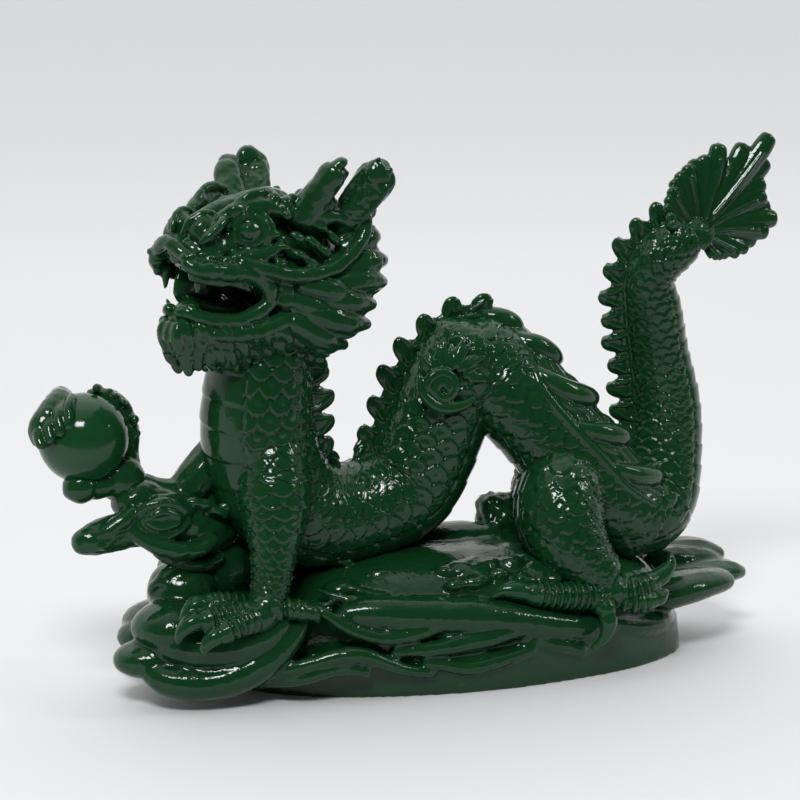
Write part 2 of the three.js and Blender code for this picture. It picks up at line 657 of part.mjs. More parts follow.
const dragon = new THREE.Group();
dragon.name = "dragon_figurine";
const sections = new Map();
let taken = null;
for (const { section, name, material, shape } of pieces) {
  if (!sections.has(section)) {
    const group = new THREE.Group();
    group.name = section;
    sections.set(section, group);
    dragon.add(group);
  }
  const whole = shape(0);
  const cut = taken ? mainBody(whole.subtract(taken)) : whole;
  sections.get(section).add(meshOf(name, cut, material));
  const clearance = shape(seam).add(shape(0.5 * seam));
  taken = taken ? taken.add(clearance) : clearance;
}

export default dragon;
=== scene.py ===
import math

import bmesh
import bpy
import numpy as np
from mathutils import Matrix, Vector, noise


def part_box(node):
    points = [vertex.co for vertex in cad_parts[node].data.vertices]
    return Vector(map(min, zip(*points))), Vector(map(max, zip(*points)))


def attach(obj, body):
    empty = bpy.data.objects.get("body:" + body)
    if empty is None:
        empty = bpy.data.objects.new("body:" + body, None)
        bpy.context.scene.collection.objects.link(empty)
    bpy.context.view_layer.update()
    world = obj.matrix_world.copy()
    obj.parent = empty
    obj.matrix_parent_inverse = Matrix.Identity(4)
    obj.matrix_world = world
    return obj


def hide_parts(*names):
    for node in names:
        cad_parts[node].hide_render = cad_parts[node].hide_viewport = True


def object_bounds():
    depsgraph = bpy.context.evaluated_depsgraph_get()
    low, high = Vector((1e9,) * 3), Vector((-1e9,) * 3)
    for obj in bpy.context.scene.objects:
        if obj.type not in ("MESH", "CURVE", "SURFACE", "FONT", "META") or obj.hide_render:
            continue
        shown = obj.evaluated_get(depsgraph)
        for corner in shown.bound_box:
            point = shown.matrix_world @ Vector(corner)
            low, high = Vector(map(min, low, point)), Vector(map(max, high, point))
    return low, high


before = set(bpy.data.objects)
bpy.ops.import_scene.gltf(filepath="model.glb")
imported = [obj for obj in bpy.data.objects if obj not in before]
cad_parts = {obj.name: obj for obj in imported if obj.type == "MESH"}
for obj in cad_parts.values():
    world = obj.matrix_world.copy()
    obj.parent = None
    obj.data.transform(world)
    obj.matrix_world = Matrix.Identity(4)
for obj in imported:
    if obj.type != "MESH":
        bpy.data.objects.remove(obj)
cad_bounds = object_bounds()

# ---------------------------------------------------------------- table, light and camera
# The figure stands on a wide, pale, matt table. The room behind it is bright and the side that the
# viewer stands on is dim. One softbox hangs high on the left and one strip on the right.
scene = bpy.context.scene
scene.view_settings.view_transform = "Standard"
low, high = (Vector(corner) for corner in cad_bounds)
middle = (low + high) / 2


class Wire:
    """A shader value that plain arithmetic can be done on. Each operator adds its Math node."""

    def __init__(self, tree, socket):
        self.tree = tree
        self.socket = socket

    def node(self, kind, settings=None, **inputs):
        """Adds a node, sets its properties, then fills its sockets with values or wires."""
        made = self.tree.nodes.new(kind)
        for key, value in (settings or {}).items():
            if key == "stops":
                fill_ramp(made.color_ramp, value)
            else:
                setattr(made, key, value)
        for key, value in inputs.items():
            socket = made.inputs[int(key[1:])] if key[0] == "_" else made.inputs[key.replace("_", " ")]
            if isinstance(value, Wire):
                self.tree.links.new(value.socket, socket)
            else:
                socket.default_value = value
        return made

    def out(self, kind, settings=None, output=0, **inputs):
        """The same, giving back one of the new node's outputs."""
        return Wire(self.tree, self.node(kind, settings, **inputs).outputs[output])

    def maths(self, operation, first, second):
        return self.out("ShaderNodeMath", {"operation": operation}, _0=first, _1=second)

    def __add__(self, other):
        return self.maths("ADD", self, other)

    __radd__ = __add__

    def __sub__(self, other):
        return self.maths("SUBTRACT", self, other)

    def __rsub__(self, other):
        return self.maths("SUBTRACT", other, self)

    def __mul__(self, other):
        return self.maths("MULTIPLY", self, other)

    __rmul__ = __mul__

    def tint(self, dark, light):
        """A colour between two, with this value from 0 to 1 as the share of the second."""
        return self.out("ShaderNodeMix", {"data_type": "RGBA"}, 2, Factor=self, _6=dark, _7=light)


def fill_ramp(ramp, stops):
    """Gives a colour ramp its stops, each a place and a grey."""
    while len(ramp.elements) < len(stops):
        ramp.elements.new(0.5)
    for element, (place, grey) in zip(ramp.elements, stops):
        element.position = place
        element.color = (grey, grey, grey, 1)


def table_top():
    """A round, pale sheet of matt card, large enough to fill the view, with painted shade that darkens it in front and
    painted light that makes it paler towards the back.
    """
    radius = 9.0
    bm = bmesh.new()
    bmesh.ops.create_circle(bm, cap_ends=True, segments=96, radius=radius)
    mesh = bpy.data.meshes.new("table")
    bm.to_mesh(mesh)
    bm.free()
    table = bpy.data.objects.new("table", mesh)
    scene.collection.objects.link(table)
    card = bpy.data.materials.new("card_painted_shade")
    card.use_nodes = True
    shader = card.node_tree.nodes["Principled BSDF"]
    start = Wire(card.node_tree, None)
    split = start.node("ShaderNodeSeparateXYZ", _0=start.out("ShaderNodeTexCoord", output=3))
    # Painted shade and light: the card's colour runs from near black in front of the figure, on the dim viewer's side,
    # to palest at the back.
    stops = [(0.0, 0.0), (0.05, 0.03), (0.08, 0.25), (0.105, 0.76), (0.20, 0.80), (0.60, 1.0)]
    near = Wire(card.node_tree, split.outputs["Y"]) + 0.25
    shade = start.out("ShaderNodeValToRGB", {"stops": stops}, Fac=near * 0.8)
    colour = shade.tint((0.10, 0.10, 0.105, 1), (0.96, 0.965, 0.985, 1))
    card.node_tree.links.new(colour.socket, shader.inputs["Base Color"])
    shader.inputs["Roughness"].default_value = 0.7
    shader.inputs["Specular IOR Level"].default_value = 0.2
    mesh.materials.append(card)


def room_light():
    """Bright behind and above the figure, dim in front of it."""
    world = bpy.data.worlds.new("room")
    scene.world = world
    world.use_nodes = True
    start = Wire(world.node_tree, None)
    sky = world.node_tree.nodes["Background"]
    facing = start.out("ShaderNodeTexCoord")
    split = start.node("ShaderNodeSeparateXYZ", _0=facing)
    behind = Wire(world.node_tree, split.outputs["Y"])
    stops = [(0.0, 0.05), (0.36, 0.12), (0.60, 0.80), (0.75, 1.0), (1.0, 1.0)]
    grey = start.out("ShaderNodeValToRGB", {"stops": stops}, Fac=behind * 0.5 + 0.5)
    world.node_tree.links.new(grey.socket, sky.inputs["Color"])
    sky.inputs["Strength"].default_value = 1.02


def lamp(name, place, size, watts, aim):
    """A softbox, square on to what it is aimed at."""
    light = bpy.data.lights.new(name, "AREA")
    light.shape = "RECTANGLE"
    light.size, light.size_y = size
    light.energy = watts
    made = bpy.data.objects.new(name, light)
    made.location = place
    made.rotation_euler = (Vector(aim) - Vector(place)).to_track_quat("-Z", "Y").to_euler()
    scene.collection.objects.link(made)


def ceiling_glow():
    """An even, shadowless light from the whole ceiling."""
    light = bpy.data.lights.new("ceiling_glow", "SUN")
    light.energy = 0.5
    light.angle = math.radians(80)
    made = bpy.data.objects.new("ceiling_glow", light)
    made.rotation_euler = (math.radians(-12), math.radians(-8), 0)
    scene.collection.objects.link(made)


def view_camera():
    """A long lens, a little to the left of the figure's flank and a little above it."""
    distance = 0.47
    turn, tilt = math.radians(-18), math.radians(11)
    aim = middle + Vector((0, 0.0118, -0.0003))
    back = Vector((math.sin(turn) * math.cos(tilt), -math.cos(turn) * math.cos(tilt), math.sin(tilt)))
    lens = bpy.data.cameras.new("camera")
    lens.sensor_width = 36
    lens.lens = 113.15
    lens.clip_end = 50
    camera = bpy.data.objects.new("camera", lens)
    camera.location = aim + distance * back
    camera.rotation_euler = back.to_track_quat("Z", "Y").to_euler()
    scene.collection.objects.link(camera)
    scene.camera = camera


table_top()
room_light()
lamp("softbox_left", (-0.31, -0.60, 0.74), (0.30, 0.20), 5.2, middle)
lamp("strip_right", (0.70, -0.30, 0.60), (0.05, 0.3), 1.1, middle)
ceiling_glow()
view_camera()

# ---------------------------------------------------------------- clouds: plinth, mound, puffs, petals
# The bed of clouds under the dragon: an oval plinth, a full mound of long flowing rolls, round puffs
# under the head and flat petals under the tail. It is cast in one pour with the figure, of
# polyester resin coloured through, and dipped in a clear gloss lacquer.
MM = 0.001


def node_box(*nodes):
    """Lowest and highest corners of CAD nodes together, in millimetres."""
    corners = [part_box(node) for node in nodes]
    lowest = Vector(min(low[axis] for low, high in corners) for axis in range(3))
    highest = Vector(max(high[axis] for low, high in corners) for axis in range(3))
    return lowest / MM, highest / MM


def through(rows, share):
    """Smooth values through rows of numbers, at shares from 0 to 1 of the way along the rows."""
    rows = np.asarray(rows, float)
    rows = np.vstack([2 * rows[0] - rows[1], rows, 2 * rows[-1] - rows[-2]])
    step = np.clip(share, 0, 1) * (len(rows) - 3)
    index = np.minimum(step.astype(int), len(rows) - 4)
    t = (step - index)[:, None]
    a, b, c, d = (rows[index + k] for k in range(4))
    return 0.5 * (2 * b + (c - a) * t + (2 * a - 5 * b + 4 * c - d) * t**2 + (3 * b - a - 3 * c + d) * t**3)


def unit(vectors):
    return vectors / np.maximum(np.linalg.norm(vectors, axis=1, keepdims=True), 1e-9)


def frames(rows, share, across):
    """Points, tangents, ups and sides of a smooth line; the width lies near "across"."""
    ahead = through(rows, share + 0.004)[:, :3]
    behind = through(rows, share - 0.004)[:, :3]
    tangent = unit(ahead - behind)
    up = unit(np.cross(tangent, np.asarray(across, float)))
    return through(rows, share)[:, :3], tangent, up, np.cross(tangent, up)


class Clay:
    """Rolls and balls of clay pressed together, in millimetres, that fuse into one closed skin."""

    def __init__(self, place=None):
        self.bm = bmesh.new()
        self.place = place or Matrix.Identity(4)

    def roll(self, stations, across=(0, 1, 0), twist=0.0, sides=12, steps=18):
        """A round-ended roll along stations of x, y, z, half width and, if given, half height."""
        rows = [tuple(s) + (s[3],) if len(s) == 4 else tuple(s) for s in stations]
        ball = bmesh.ops.create_uvsphere(self.bm, u_segments=sides, v_segments=steps, radius=1)["verts"]
        unit_ball = np.array([v.co for v in ball])
        share = np.arccos(np.clip(unit_ball[:, 2], -1, 1)) / math.pi
        place, tangent, up, side = frames(rows, share, across)
        sizes = np.maximum(through(rows, share)[:, 3:5], 0.05)
        length = np.linalg.norm(np.diff(np.array(rows)[:, :3], axis=0), axis=1).sum()
        from_end = np.minimum(share, 1 - share) * length / sizes.max(axis=1)
        rounding = np.sqrt(1 - (1 - np.minimum(from_end, 1)) ** 2)
        angle = np.arctan2(unit_ball[:, 1], unit_ball[:, 0]) + math.radians(twist)
        wide = np.cos(angle) * sizes[:, 0] * rounding
        tall = np.sin(angle) * sizes[:, 1] * rounding
        for vert, point in zip(ball, place + side * wide[:, None] + up * tall[:, None]):
            vert.co = self.place @ Vector(point)
        return self

    def ball(self, centre, radii, turn=(0, 0, 0), detail=3):
        """An ellipsoid, turned about x, then y, then z, in degrees."""
        turned = Matrix.Identity(4)
        for angle, axis in zip(turn, "XYZ"):
            turned = Matrix.Rotation(math.radians(angle), 4, axis) @ turned
        matrix = self.place @ Matrix.Translation(centre) @ turned @ Matrix.Diagonal((*radii, 1))
        bmesh.ops.create_icosphere(self.bm, subdivisions=detail, radius=1, matrix=matrix)
        return self

    def fuse(self, name, voxel, soften=3):
        """Closes everything into one even skin and smooths the joins a little."""
        bmesh.ops.recalc_face_normals(self.bm, faces=self.bm.faces)
        piece = link_mesh(name, self.bm)
        remesh = piece.modifiers.new("fuse", "REMESH")
        remesh.mode = "VOXEL"
        remesh.voxel_size = voxel
        smooth = piece.modifiers.new("soften", "SMOOTH")
        smooth.factor = 0.5
        smooth.iterations = soften
        settle(piece)
        return piece


def link_mesh(name, bm):
    mesh = bpy.data.meshes.new(name)
    bm.to_mesh(mesh)
    bm.free()
    piece = bpy.data.objects.new(name, mesh)
    scene.collection.objects.link(piece)
    return piece


def settle(piece):
    """Applies a piece's modifiers."""
    seen = piece.evaluated_get(bpy.context.evaluated_depsgraph_get())
    mesh = bpy.data.meshes.new_from_object(seen)
    piece.modifiers.clear()
    old = piece.data
    piece.data = mesh
    bpy.data.meshes.remove(old)
    mesh.name = piece.name


def press(piece, relief):
    """Moves the skin along its normals by relief(points), in millimetres."""
    mesh = piece.data
    points = np.empty(len(mesh.vertices) * 3, np.float32)
    mesh.vertices.foreach_get("co", points)
    points = points.reshape(-1, 3)
    normals = np.array([n.vector for n in mesh.vertex_normals])
    points = points + normals * relief(points)[:, None]
    mesh.vertices.foreach_set("co", points.astype(np.float32).ravel())
    mesh.update()


def rough(points, size, seed):
    """Smooth noise from -1 to 1 with lumps of a given size in millimetres."""
    shift = Vector((seed * 7.3, seed * 3.1, seed * 5.7))
    return np.array([noise.noise(Vector(p) / size + shift) for p in points.tolist()])


def hand_over(piece, slot, material, *nodes):
    """Brings a finished piece to metres, gives it its material, hides the CAD parts it stands for, and hangs it under
    the root.
    """
    piece.data.transform(Matrix.Scale(MM, 4))
    piece.data.shade_smooth()
    piece.data.materials.clear()
    piece.data.materials.append(material)
    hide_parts(*nodes)
    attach(piece, "root")


def lacquered(name, dark_tone_and_shade, lit, roughness, peel):
    """Solid-coloured resin under gloss lacquer: painted shade that darkens the hollows and lightens the ridges, a
    surface a little uneven in its shine, and the fine orange peel of a dipped coat."""
    material = bpy.data.materials.new(name)
    material.use_nodes = True
    tree = material.node_tree
    shader = tree.nodes["Principled BSDF"]
    start = Wire(tree, None)
    place = start.out("ShaderNodeTexCoord", output=3)

    def clouding(scale, detail, shift):
        moved = start.out("ShaderNodeMapping", _0=place, _1=(shift, 0.5 * shift, -shift))
        return start.out("ShaderNodeTexNoise", Vector=moved, Scale=scale, Detail=detail)

    # Painted shade: a ramp on Pointiness takes the hollows and creases down to the dark colour, where shade falls, and
    # paints the ridges lighter; the patches and mottle below are tone that differs at random.
    hollow = start.out(
        "ShaderNodeValToRGB",
        {"stops": [(0.42, 0.0), (0.5, 0.62), (0.6, 1.0)]},
        Fac=start.out("ShaderNodeNewGeometry", output=7),
    )
    patches = clouding(90, 3, 0.1)
    mottle = clouding(900, 2, 0.3)
    shade = hollow * 0.75 + patches * 0.35 + mottle * 0.15 - 0.12
    colour = shade.tint((*dark_tone_and_shade, 1), (*lit, 1))
    shine = roughness + (clouding(220, 4, 0.7) - 0.5) * 0.08
    skin = clouding(650, 2, 0.2) * peel + clouding(2600, 1, 0.4) * (0.25 * peel)
    bump = start.out("ShaderNodeBump", Strength=1.0, Distance=0.001, Height=skin)
    for socket, wire in (("Base Color", colour), ("Roughness", shine), ("Normal", bump)):
        tree.links.new(wire.socket, shader.inputs[socket])
    shader.inputs["IOR"].default_value = 1.42
    return material


# The first colour is the dark end, for the darker random tone and the painted shade in the hollows; the second is the
# lit end.
cloud_resin = lacquered("cloud_resin", (0.0012, 0.012, 0.004), (0.008, 0.062, 0.018), 0.10, 0.10)
plinth_low, plinth_high = node_box("base_plinth")
end_x, edge_y, wall = plinth_high.x, plinth_high.y, plinth_high.z
mound_top = node_box("base_mound")[1].z


def plinth(bed):
    """The oval wall, with a slightly wandering outline."""
    made = bmesh.ops.create_cone(
        bed.bm, cap_ends=True, segments=120, radius1=1, radius2=0.985, depth=wall,
        matrix=Matrix.Translation((0, 0, wall / 2)),
    )
    for vert in made["verts"]:
        angle = math.atan2(vert.co.y, vert.co.x)
        reach = 1 - 0.012 * (1 + math.sin(5 * angle + 0.7)) / 2 - 0.008 * (1 + math.sin(9 * angle)) / 2
        vert.co.x *= end_x * reach
        vert.co.y *= edge_y * reach


def mound(bed):
    """A full dome on the plinth, flatter on top than a ball."""
    fullness = 2 / 2.6
    made = bmesh.ops.create_icosphere(bed.bm, subdivisions=4, radius=1)
    for vert in made["verts"]:
        flat = math.hypot(vert.co.x, vert.co.y)
        tilt = math.atan2(abs(vert.co.z), flat)
        spread = math.cos(tilt) ** fullness / max(flat, 1e-6)
        rise = math.copysign(math.sin(tilt) ** fullness, vert.co.z)
        vert.co.x *= spread * (end_x - 2.4)
        vert.co.y *= spread * (edge_y - 1.4)
        vert.co.z = wall + rise * (mound_top - wall if rise > 0 else wall - 1)


# Long rolls of cloud that flow round the wall: x, y, z, half width.
FLOWS = [
    [(-29, -14.6, 15.6, 1.2), (-22, -15.4, 15.4, 3.0), (-13, -16.2, 14.4, 3.5), (-2, -16.5, 13.2, 3.5),
     (9, -16.2, 11, 3.1), (20, -15, 9, 2.4), (30, -12, 8, 1.2)],
    [(-34, -13.6, 17.4, 0.7), (-30.6, -15.3, 15.9, 1.0), (-26, -17, 12.8, 1.2), (-20, -18, 11.2, 1.3),
     (-13.5, -18.5, 12, 1.3), (-7, -18.4, 13.7, 1.1), (1, -17.8, 13.6, 0.6)],
    [(-43, -13.5, 4.4, 0.8), (-36.3, -16.4, 6.9, 1.3), (-29.3, -17.8, 8.7, 1.5), (-24.3, -18.4, 8.5, 1.5),
     (-18, -18.8, 5.8, 1.2), (-11, -19, 4, 0.7)],
    [(-43.4, -11.5, 3, 0.8), (-36, -16.6, 4.8, 1.2), (-29.3, -18, 6.4, 1.2), (-23, -18.6, 5.4, 0.8)],
    [(-20, -18.2, 8.6, 0.8), (-11, -18.6, 8.8, 1.5), (-3, -18.6, 9.6, 1.8), (4, -18.2, 10.6, 1.5),
     (9, -17.4, 11, 0.6)],
    [(-14, -18.9, 6.6, 0.8), (-5.4, -19, 4.8, 1.3), (0.3, -19, 5.4, 1.3), (8.4, -18.2, 7.0, 0.9)],
    [(5, -17.9, 8.8, 0.7), (12.5, -17.6, 7, 1.3), (18.6, -17, 4.8, 0.8)],
    [(22, -15, 10, 0.9), (30, -12.6, 7.6, 1.7), (37, -8.5, 6.6, 1.8), (41.5, -2, 6.4, 1.2), (42.5, 3, 6.8, 0.7)],
]


def flows(bed):
    """The rolls down the left side, and the same turned half round for the right side."""
    for flow in FLOWS:
        bed.roll(flow, across=(0, 0, 1), steps=28)
        bed.roll([(-x, -y, z, r) for x, y, z, r in flow], across=(0, 0, 1), steps=28)


def puffs(bed):
    """Round puffs and thick rolls that hang out past the plinth, under the head."""
    bed.ball((-53.5, -2, 18.6), (6.3, 6.6, 6.0))
    bed.ball((-56, -7.5, 14), (8, 7, 4.8))
    bed.ball((-60.5, -7, 8.4), (6.8, 5.6, 3.6))
    bed.ball((-53, 6, 11), (10, 8, 4.6))
    bed.ball((-50, 10, 7.4), (9, 6.5, 3.8))
    bed.ball((-44, 0, 10), (12, 14, 7))
    bed.ball((-58, 2.5, 9.6), (6.5, 6, 3.6))
    bed.roll([(-63, -10, 8, 1.6), (-58, -12.6, 5.4, 3.0), (-50.5, -14, 5, 3.4), (-43, -14.8, 7.5, 3.2),
              (-37, -14.8, 12, 2.3), (-33.5, -13.6, 16.5, 1.0)], across=(0, 0, 1), steps=26)
    bed.roll([(-61, -9, 13, 2), (-56, -11.6, 11.4, 3.6), (-49, -13.6, 11, 3.8), (-42, -14.6, 12.6, 3.0),
              (-37, -14.4, 16, 1.4)], across=(0, 0, 1), steps=26)
    bed.roll([(-58.6, -4.6, 21.5, 0.8), (-56.8, -5.6, 23.6, 1.1), (-53.2, -5.2, 24.8, 1.2),
              (-50, -3.4, 24, 1.0), (-48.6, -1, 22, 0.7)], steps=20)
    bed.roll([(-59.6, -3, 18.5, 0.7), (-59.2, -4.6, 20.8, 0.9), (-57.2, -6, 21.4, 0.9), (-55.6, -7, 19.6, 0.6)],
             steps=16)
    bed.roll([(-57, 11, 9, 1.4), (-51, 14, 6.5, 2.6), (-44, 15, 7.5, 2.8), (-38, 15, 11, 1.6)],
             across=(0, 0, 1), steps=20)


# Flat petals under the tail: root to tip, with half width and half height.
PETALS = [
    [(34, 2, 10, 5, 3.4), (44, 3, 11.4, 7, 3.3), (52, 3.4, 12.3, 5.6, 2.7), (57, 3.2, 12, 3.2, 1.9),
     (59.8, 3, 11.4, 1.2, 0.9)],
    [(36, 9, 13, 5, 3), (46, 9.4, 15, 5.6, 2.8), (53, 9, 15, 4.2, 2.3), (57.6, 7.6, 13.8, 1.6, 1.2)],
    [(33, -6, 10.4, 5, 3.4), (41, -5.6, 12, 5.6, 3.2), (48.5, -4, 12.4, 4.6, 2.6), (54, -2, 12.2, 2.4, 1.6)],
    [(32, 13, 9, 4.6, 3.2), (40, 12.6, 10.4, 5, 2.8), (47, 11, 10.6, 3.2, 2), (50.5, 9.8, 10.2, 1, 0.8)],
    [(38, 4, 15, 3.6, 2.4), (46, 5, 15.4, 3.8, 2), (52, 5.4, 14.8, 2.6, 1.4), (55.5, 5.4, 13.8, 0.9, 0.7)],
]


def petals(bed):
    for petal in PETALS:
        bed.roll(petal, steps=24, sides=18)
        rib = [(x, y - 0.35 * wide, z + 0.82 * tall, 0.5) for x, y, z, wide, tall in petal[:-1]]
        bed.roll(rib + [petal[-1][:3] + (0.4,)], steps=20, sides=8)


def mound_details(bed):
    """Bubbles, a ringed hollow and drawn-out wisps on top, and the rough block behind the thigh."""
    for x, y, z, r in ((-18, -6, 19.8, 3.0), (-10, -7, 19.4, 2.6), (-26, -9, 18.6, 2.6), (-2, -10, 18, 2.4),
                       (5, -7.5, 19.2, 2.8), (-14, 8, 20, 3), (0, 9, 20, 2.6), (-26, 8, 18.6, 2.8)):
        bed.ball((x, y, z), (1.25 * r, r, 0.62 * r))
    for x, y, z, r in ((-18, -7.2, 20.6, 2.1), (7, -9, 19, 1.8), (-24, -3, 22, 1.8)):
        ring = [(x + r * math.cos(a), y + 0.8 * r * math.sin(a), z - 0.12 * r * math.sin(a), 0.55)
                for a in (k * math.pi / 4 for k in range(9))]
        bed.roll(ring, across=(0, 0, 1), steps=26, sides=8)
    for k in range(9):
        x = -34 + 6.4 * k
        y = -12.4 - 0.5 * math.sin(2.1 * k)
        z = 17.2 + 0.8 * math.sin(1.3 * k)
        bed.roll([(x - 4, y + 2.5, z + 1.4, 0.4), (x, y, z + 0.2, 0.8), (x + 4, y - 0.6, z - 0.3, 0.7),
                  (x + 8, y + 1.2, z, 0.3)], across=(0, 0, 1), steps=16, sides=8)
    block_low, block_high = node_box("cloud_curl_back")
    centre = (block_low + block_high) / 2
    bed.ball(centre, (5.6, 4.4, 5.0))
    bed.ball(centre + Vector((-2.2, 0, 2.6)), (3.2, 3.2, 2.4))
    bed.ball(centre + Vector((2.6, -0.6, 2.2)), (3.0, 3.0, 2.6))
    bed.ball((0, 7, 22), (11, 5, 3.2))
    bed.ball((-40.5, 5.5, 24), (3.4, 3, 3.4))
    bed.ball((-30, 5.5, 19), (4.4, 3, 3.2))
    bed.ball((end_x - 92, 3, 21), (9, 7, 6.5))
    bed.ball((end_x - 86, 6, 20), (9, 6, 6))
    pebbles = np.random.default_rng(41)
    for _ in range(46):
        x = pebbles.uniform(-8, 14)
        y = pebbles.uniform(-15.5, -9)
        size = pebbles.uniform(0.7, 1.5)
        top = mound_top - 1.2 - 0.055 * (y + 8) ** 2
        bed.ball((x, y, top - 0.3 * size), (1.5 * size, size, 0.9 * size), turn=(0, 0, pebbles.uniform(-30, 30)), detail=2)


def chipped(points):
    """The block behind the thigh is left rough; everything else only ripples."""
    block_low, block_high = node_box("cloud_curl_back")
    near = np.all((points > np.array(block_low) - 1) & (points < np.array(block_high) + 1), axis=1)
    near &= points[:, 2] > block_low.z + 3.5
    above_foot = np.clip(points[:, 2] / 2, 0, 1)
    return np.where(near, 0.55 * rough(points, 1.3, 3), 0.12 * rough(points, 3.5, 1) * above_foot)


bed = Clay()
plinth(bed)
mound(bed)
flows(bed)
puffs(bed)
petals(bed)
mound_details(bed)
cloud_bed = bed.fuse("cloud_bed", 0.45, 4)
press(cloud_bed, chipped)
hand_over(
    cloud_bed, "cloud_resin", cloud_resin,
    *(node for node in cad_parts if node.startswith(("base_", "cloud_"))),
)

# ---------------------------------------------------------------- body: neck, arch, descent and tail
# The long scaled body in three lengths: neck to arch, arch to rear loop, and rear loop to the tail's
# end. Each is a round skin of overlapping scales with broad plates down the belly.
# The first colour is the dark end, for the darker random tone and the painted shade in the hollows; the second is the
# lit end.
dragon_resin = lacquered("dragon_resin", (0.0015, 0.014, 0.0045), (0.009, 0.07, 0.02), 0.10, 0.06)

thick = 9.0
neck_x = 4.3 - end_x
front_x = neck_x + 2 * thick
tail_x = end_x - 1.7
rear_x = tail_x - 7.5
loop_z = mound_top + 6
neck_z = node_box("body_neck")[1].z - 6
arch_low, arch_high = node_box("body_arch")
arch_x, arch_z = arch_high.x - 9.8, arch_high.z - 8.2
tip_z = node_box("body_tail")[1].z - 4.5
neck_rise, arch_rise, tail_rise = neck_z - loop_z, arch_z - loop_z, tip_z - loop_z

NECK_LINE = [
    (neck_x + 2.5, -4, neck_z + 5, 0.8 * thick),
    (neck_x + 0.8, -4, neck_z - 2, 0.95 * thick),
    (neck_x - 0.2, -4, neck_z - 0.26 * neck_rise, 1.02 * thick),
    (neck_x, -3, neck_z - 0.48 * neck_rise, 1.08 * thick),
    (neck_x + 2.5, -1, loop_z + 0.26 * neck_rise, 1.12 * thick),
    (neck_x + 8.5, 1, loop_z + 2, 1.08 * thick),
    (front_x, 3, loop_z, thick),
    (front_x + 11.5, 4, loop_z + 0.13 * arch_rise, thick),
    (arch_x - 8.3, 4, loop_z + 0.385 * arch_rise, thick),
    (arch_x - 4.4, 4, arch_z - 0.24 * arch_rise, thick),
    (arch_x + 0.2, 4, arch_z + 0.5, thick),
    (arch_x + 2.6, 3.8, arch_z + 4, 0.85 * thick),
    (arch_x + 4.2, 3.6, arch_z + 6.6, 0.45 * thick),
]
DESCENT_LINE = [
    (arch_x - 4, 5, arch_z + 3.6, 0.5 * thick),
    (arch_x - 1, 4.6, arch_z + 1.6, 0.9 * thick),
    (arch_x + 4.4, 3, arch_z - 0.13 * arch_rise, thick),
    (arch_x + 9.8, 0, arch_z - 0.355 * arch_rise, 0.9 * thick),
    (rear_x - 14.2, -2, loop_z + 0.3 * arch_rise, 0.9 * thick),
    (rear_x - 7, -2, loop_z + 0.4, 0.92 * thick),
    (rear_x, -0.5, loop_z - 3.6, 0.88 * thick),
    (rear_x + 4.5, 0, loop_z - 5.5, 0.5 * thick),
]
TAIL_LINE = [
    (rear_x - 5, -0.5, loop_z - 5, 0.5 * thick),
    (rear_x, 0, loop_z - 3.6, 0.86 * thick),
    (rear_x + 5, 2, loop_z - 0.5, 0.86 * thick),
    (tail_x, 4, loop_z + 7.5, 0.78 * thick),
    (tail_x + 0.6, 5, loop_z + 0.33 * tail_rise, 0.71 * thick),
    (tail_x - 1.2, 5, tip_z - 0.47 * tail_rise, 0.62 * thick),
    (tail_x - 3.1, 4, tip_z - 0.304 * tail_rise, 0.6 * thick),
    (tail_x - 4.4, 3, tip_z - 0.196 * tail_rise, 0.52 * thick),
    (tail_x - 3.0, 2, tip_z - 6, 0.52 * thick),
    (tail_x + 0.4, 1, tip_z - 2.8, 0.50 * thick),
    (tail_x + 4, 1, tip_z - 0.4, 0.34 * thick),
]


def scale_relief(row, column, count):
    """Height from 0 to 1 of overlapping round scales, each laid over the one behind it.

    row runs along the body and column round it, both in scales. The free edges point down the rows."""
    height = np.zeros_like(row)
    pitch = 0.62
    reach = 0.56
    for centre_row in (np.floor(row) + 1, np.floor(row)):
        shift = 0.5 * np.mod(centre_row, 2)
        across = column - shift
        across = np.abs(across - np.round(across))
        along = (row - centre_row) * pitch
        out = np.sqrt(across**2 + along**2) / reach
        tilt = 0.36 + 0.4 * along / reach
        rim = np.exp(-(((out - 0.87) / 0.08) ** 2)) * 0.36 + np.exp(-(((out - 0.6) / 0.08) ** 2)) * 0.16
        dome = 0.26 * np.exp(-((out / 0.36) ** 2))
        lip = np.clip((1 - out) / 0.07, 0, 1)
        made = (tilt + rim + dome) * lip
        height = np.where(out < 1, np.maximum(made, 0), height)
    return height


def plate_relief(row):
    """Broad smooth belly plates that overlap like roof tiles."""
    part = row - np.floor(row)
    return 0.35 + 0.5 * part - 0.85 * np.clip((part - 0.93) / 0.07, 0, 1) ** 2 * part


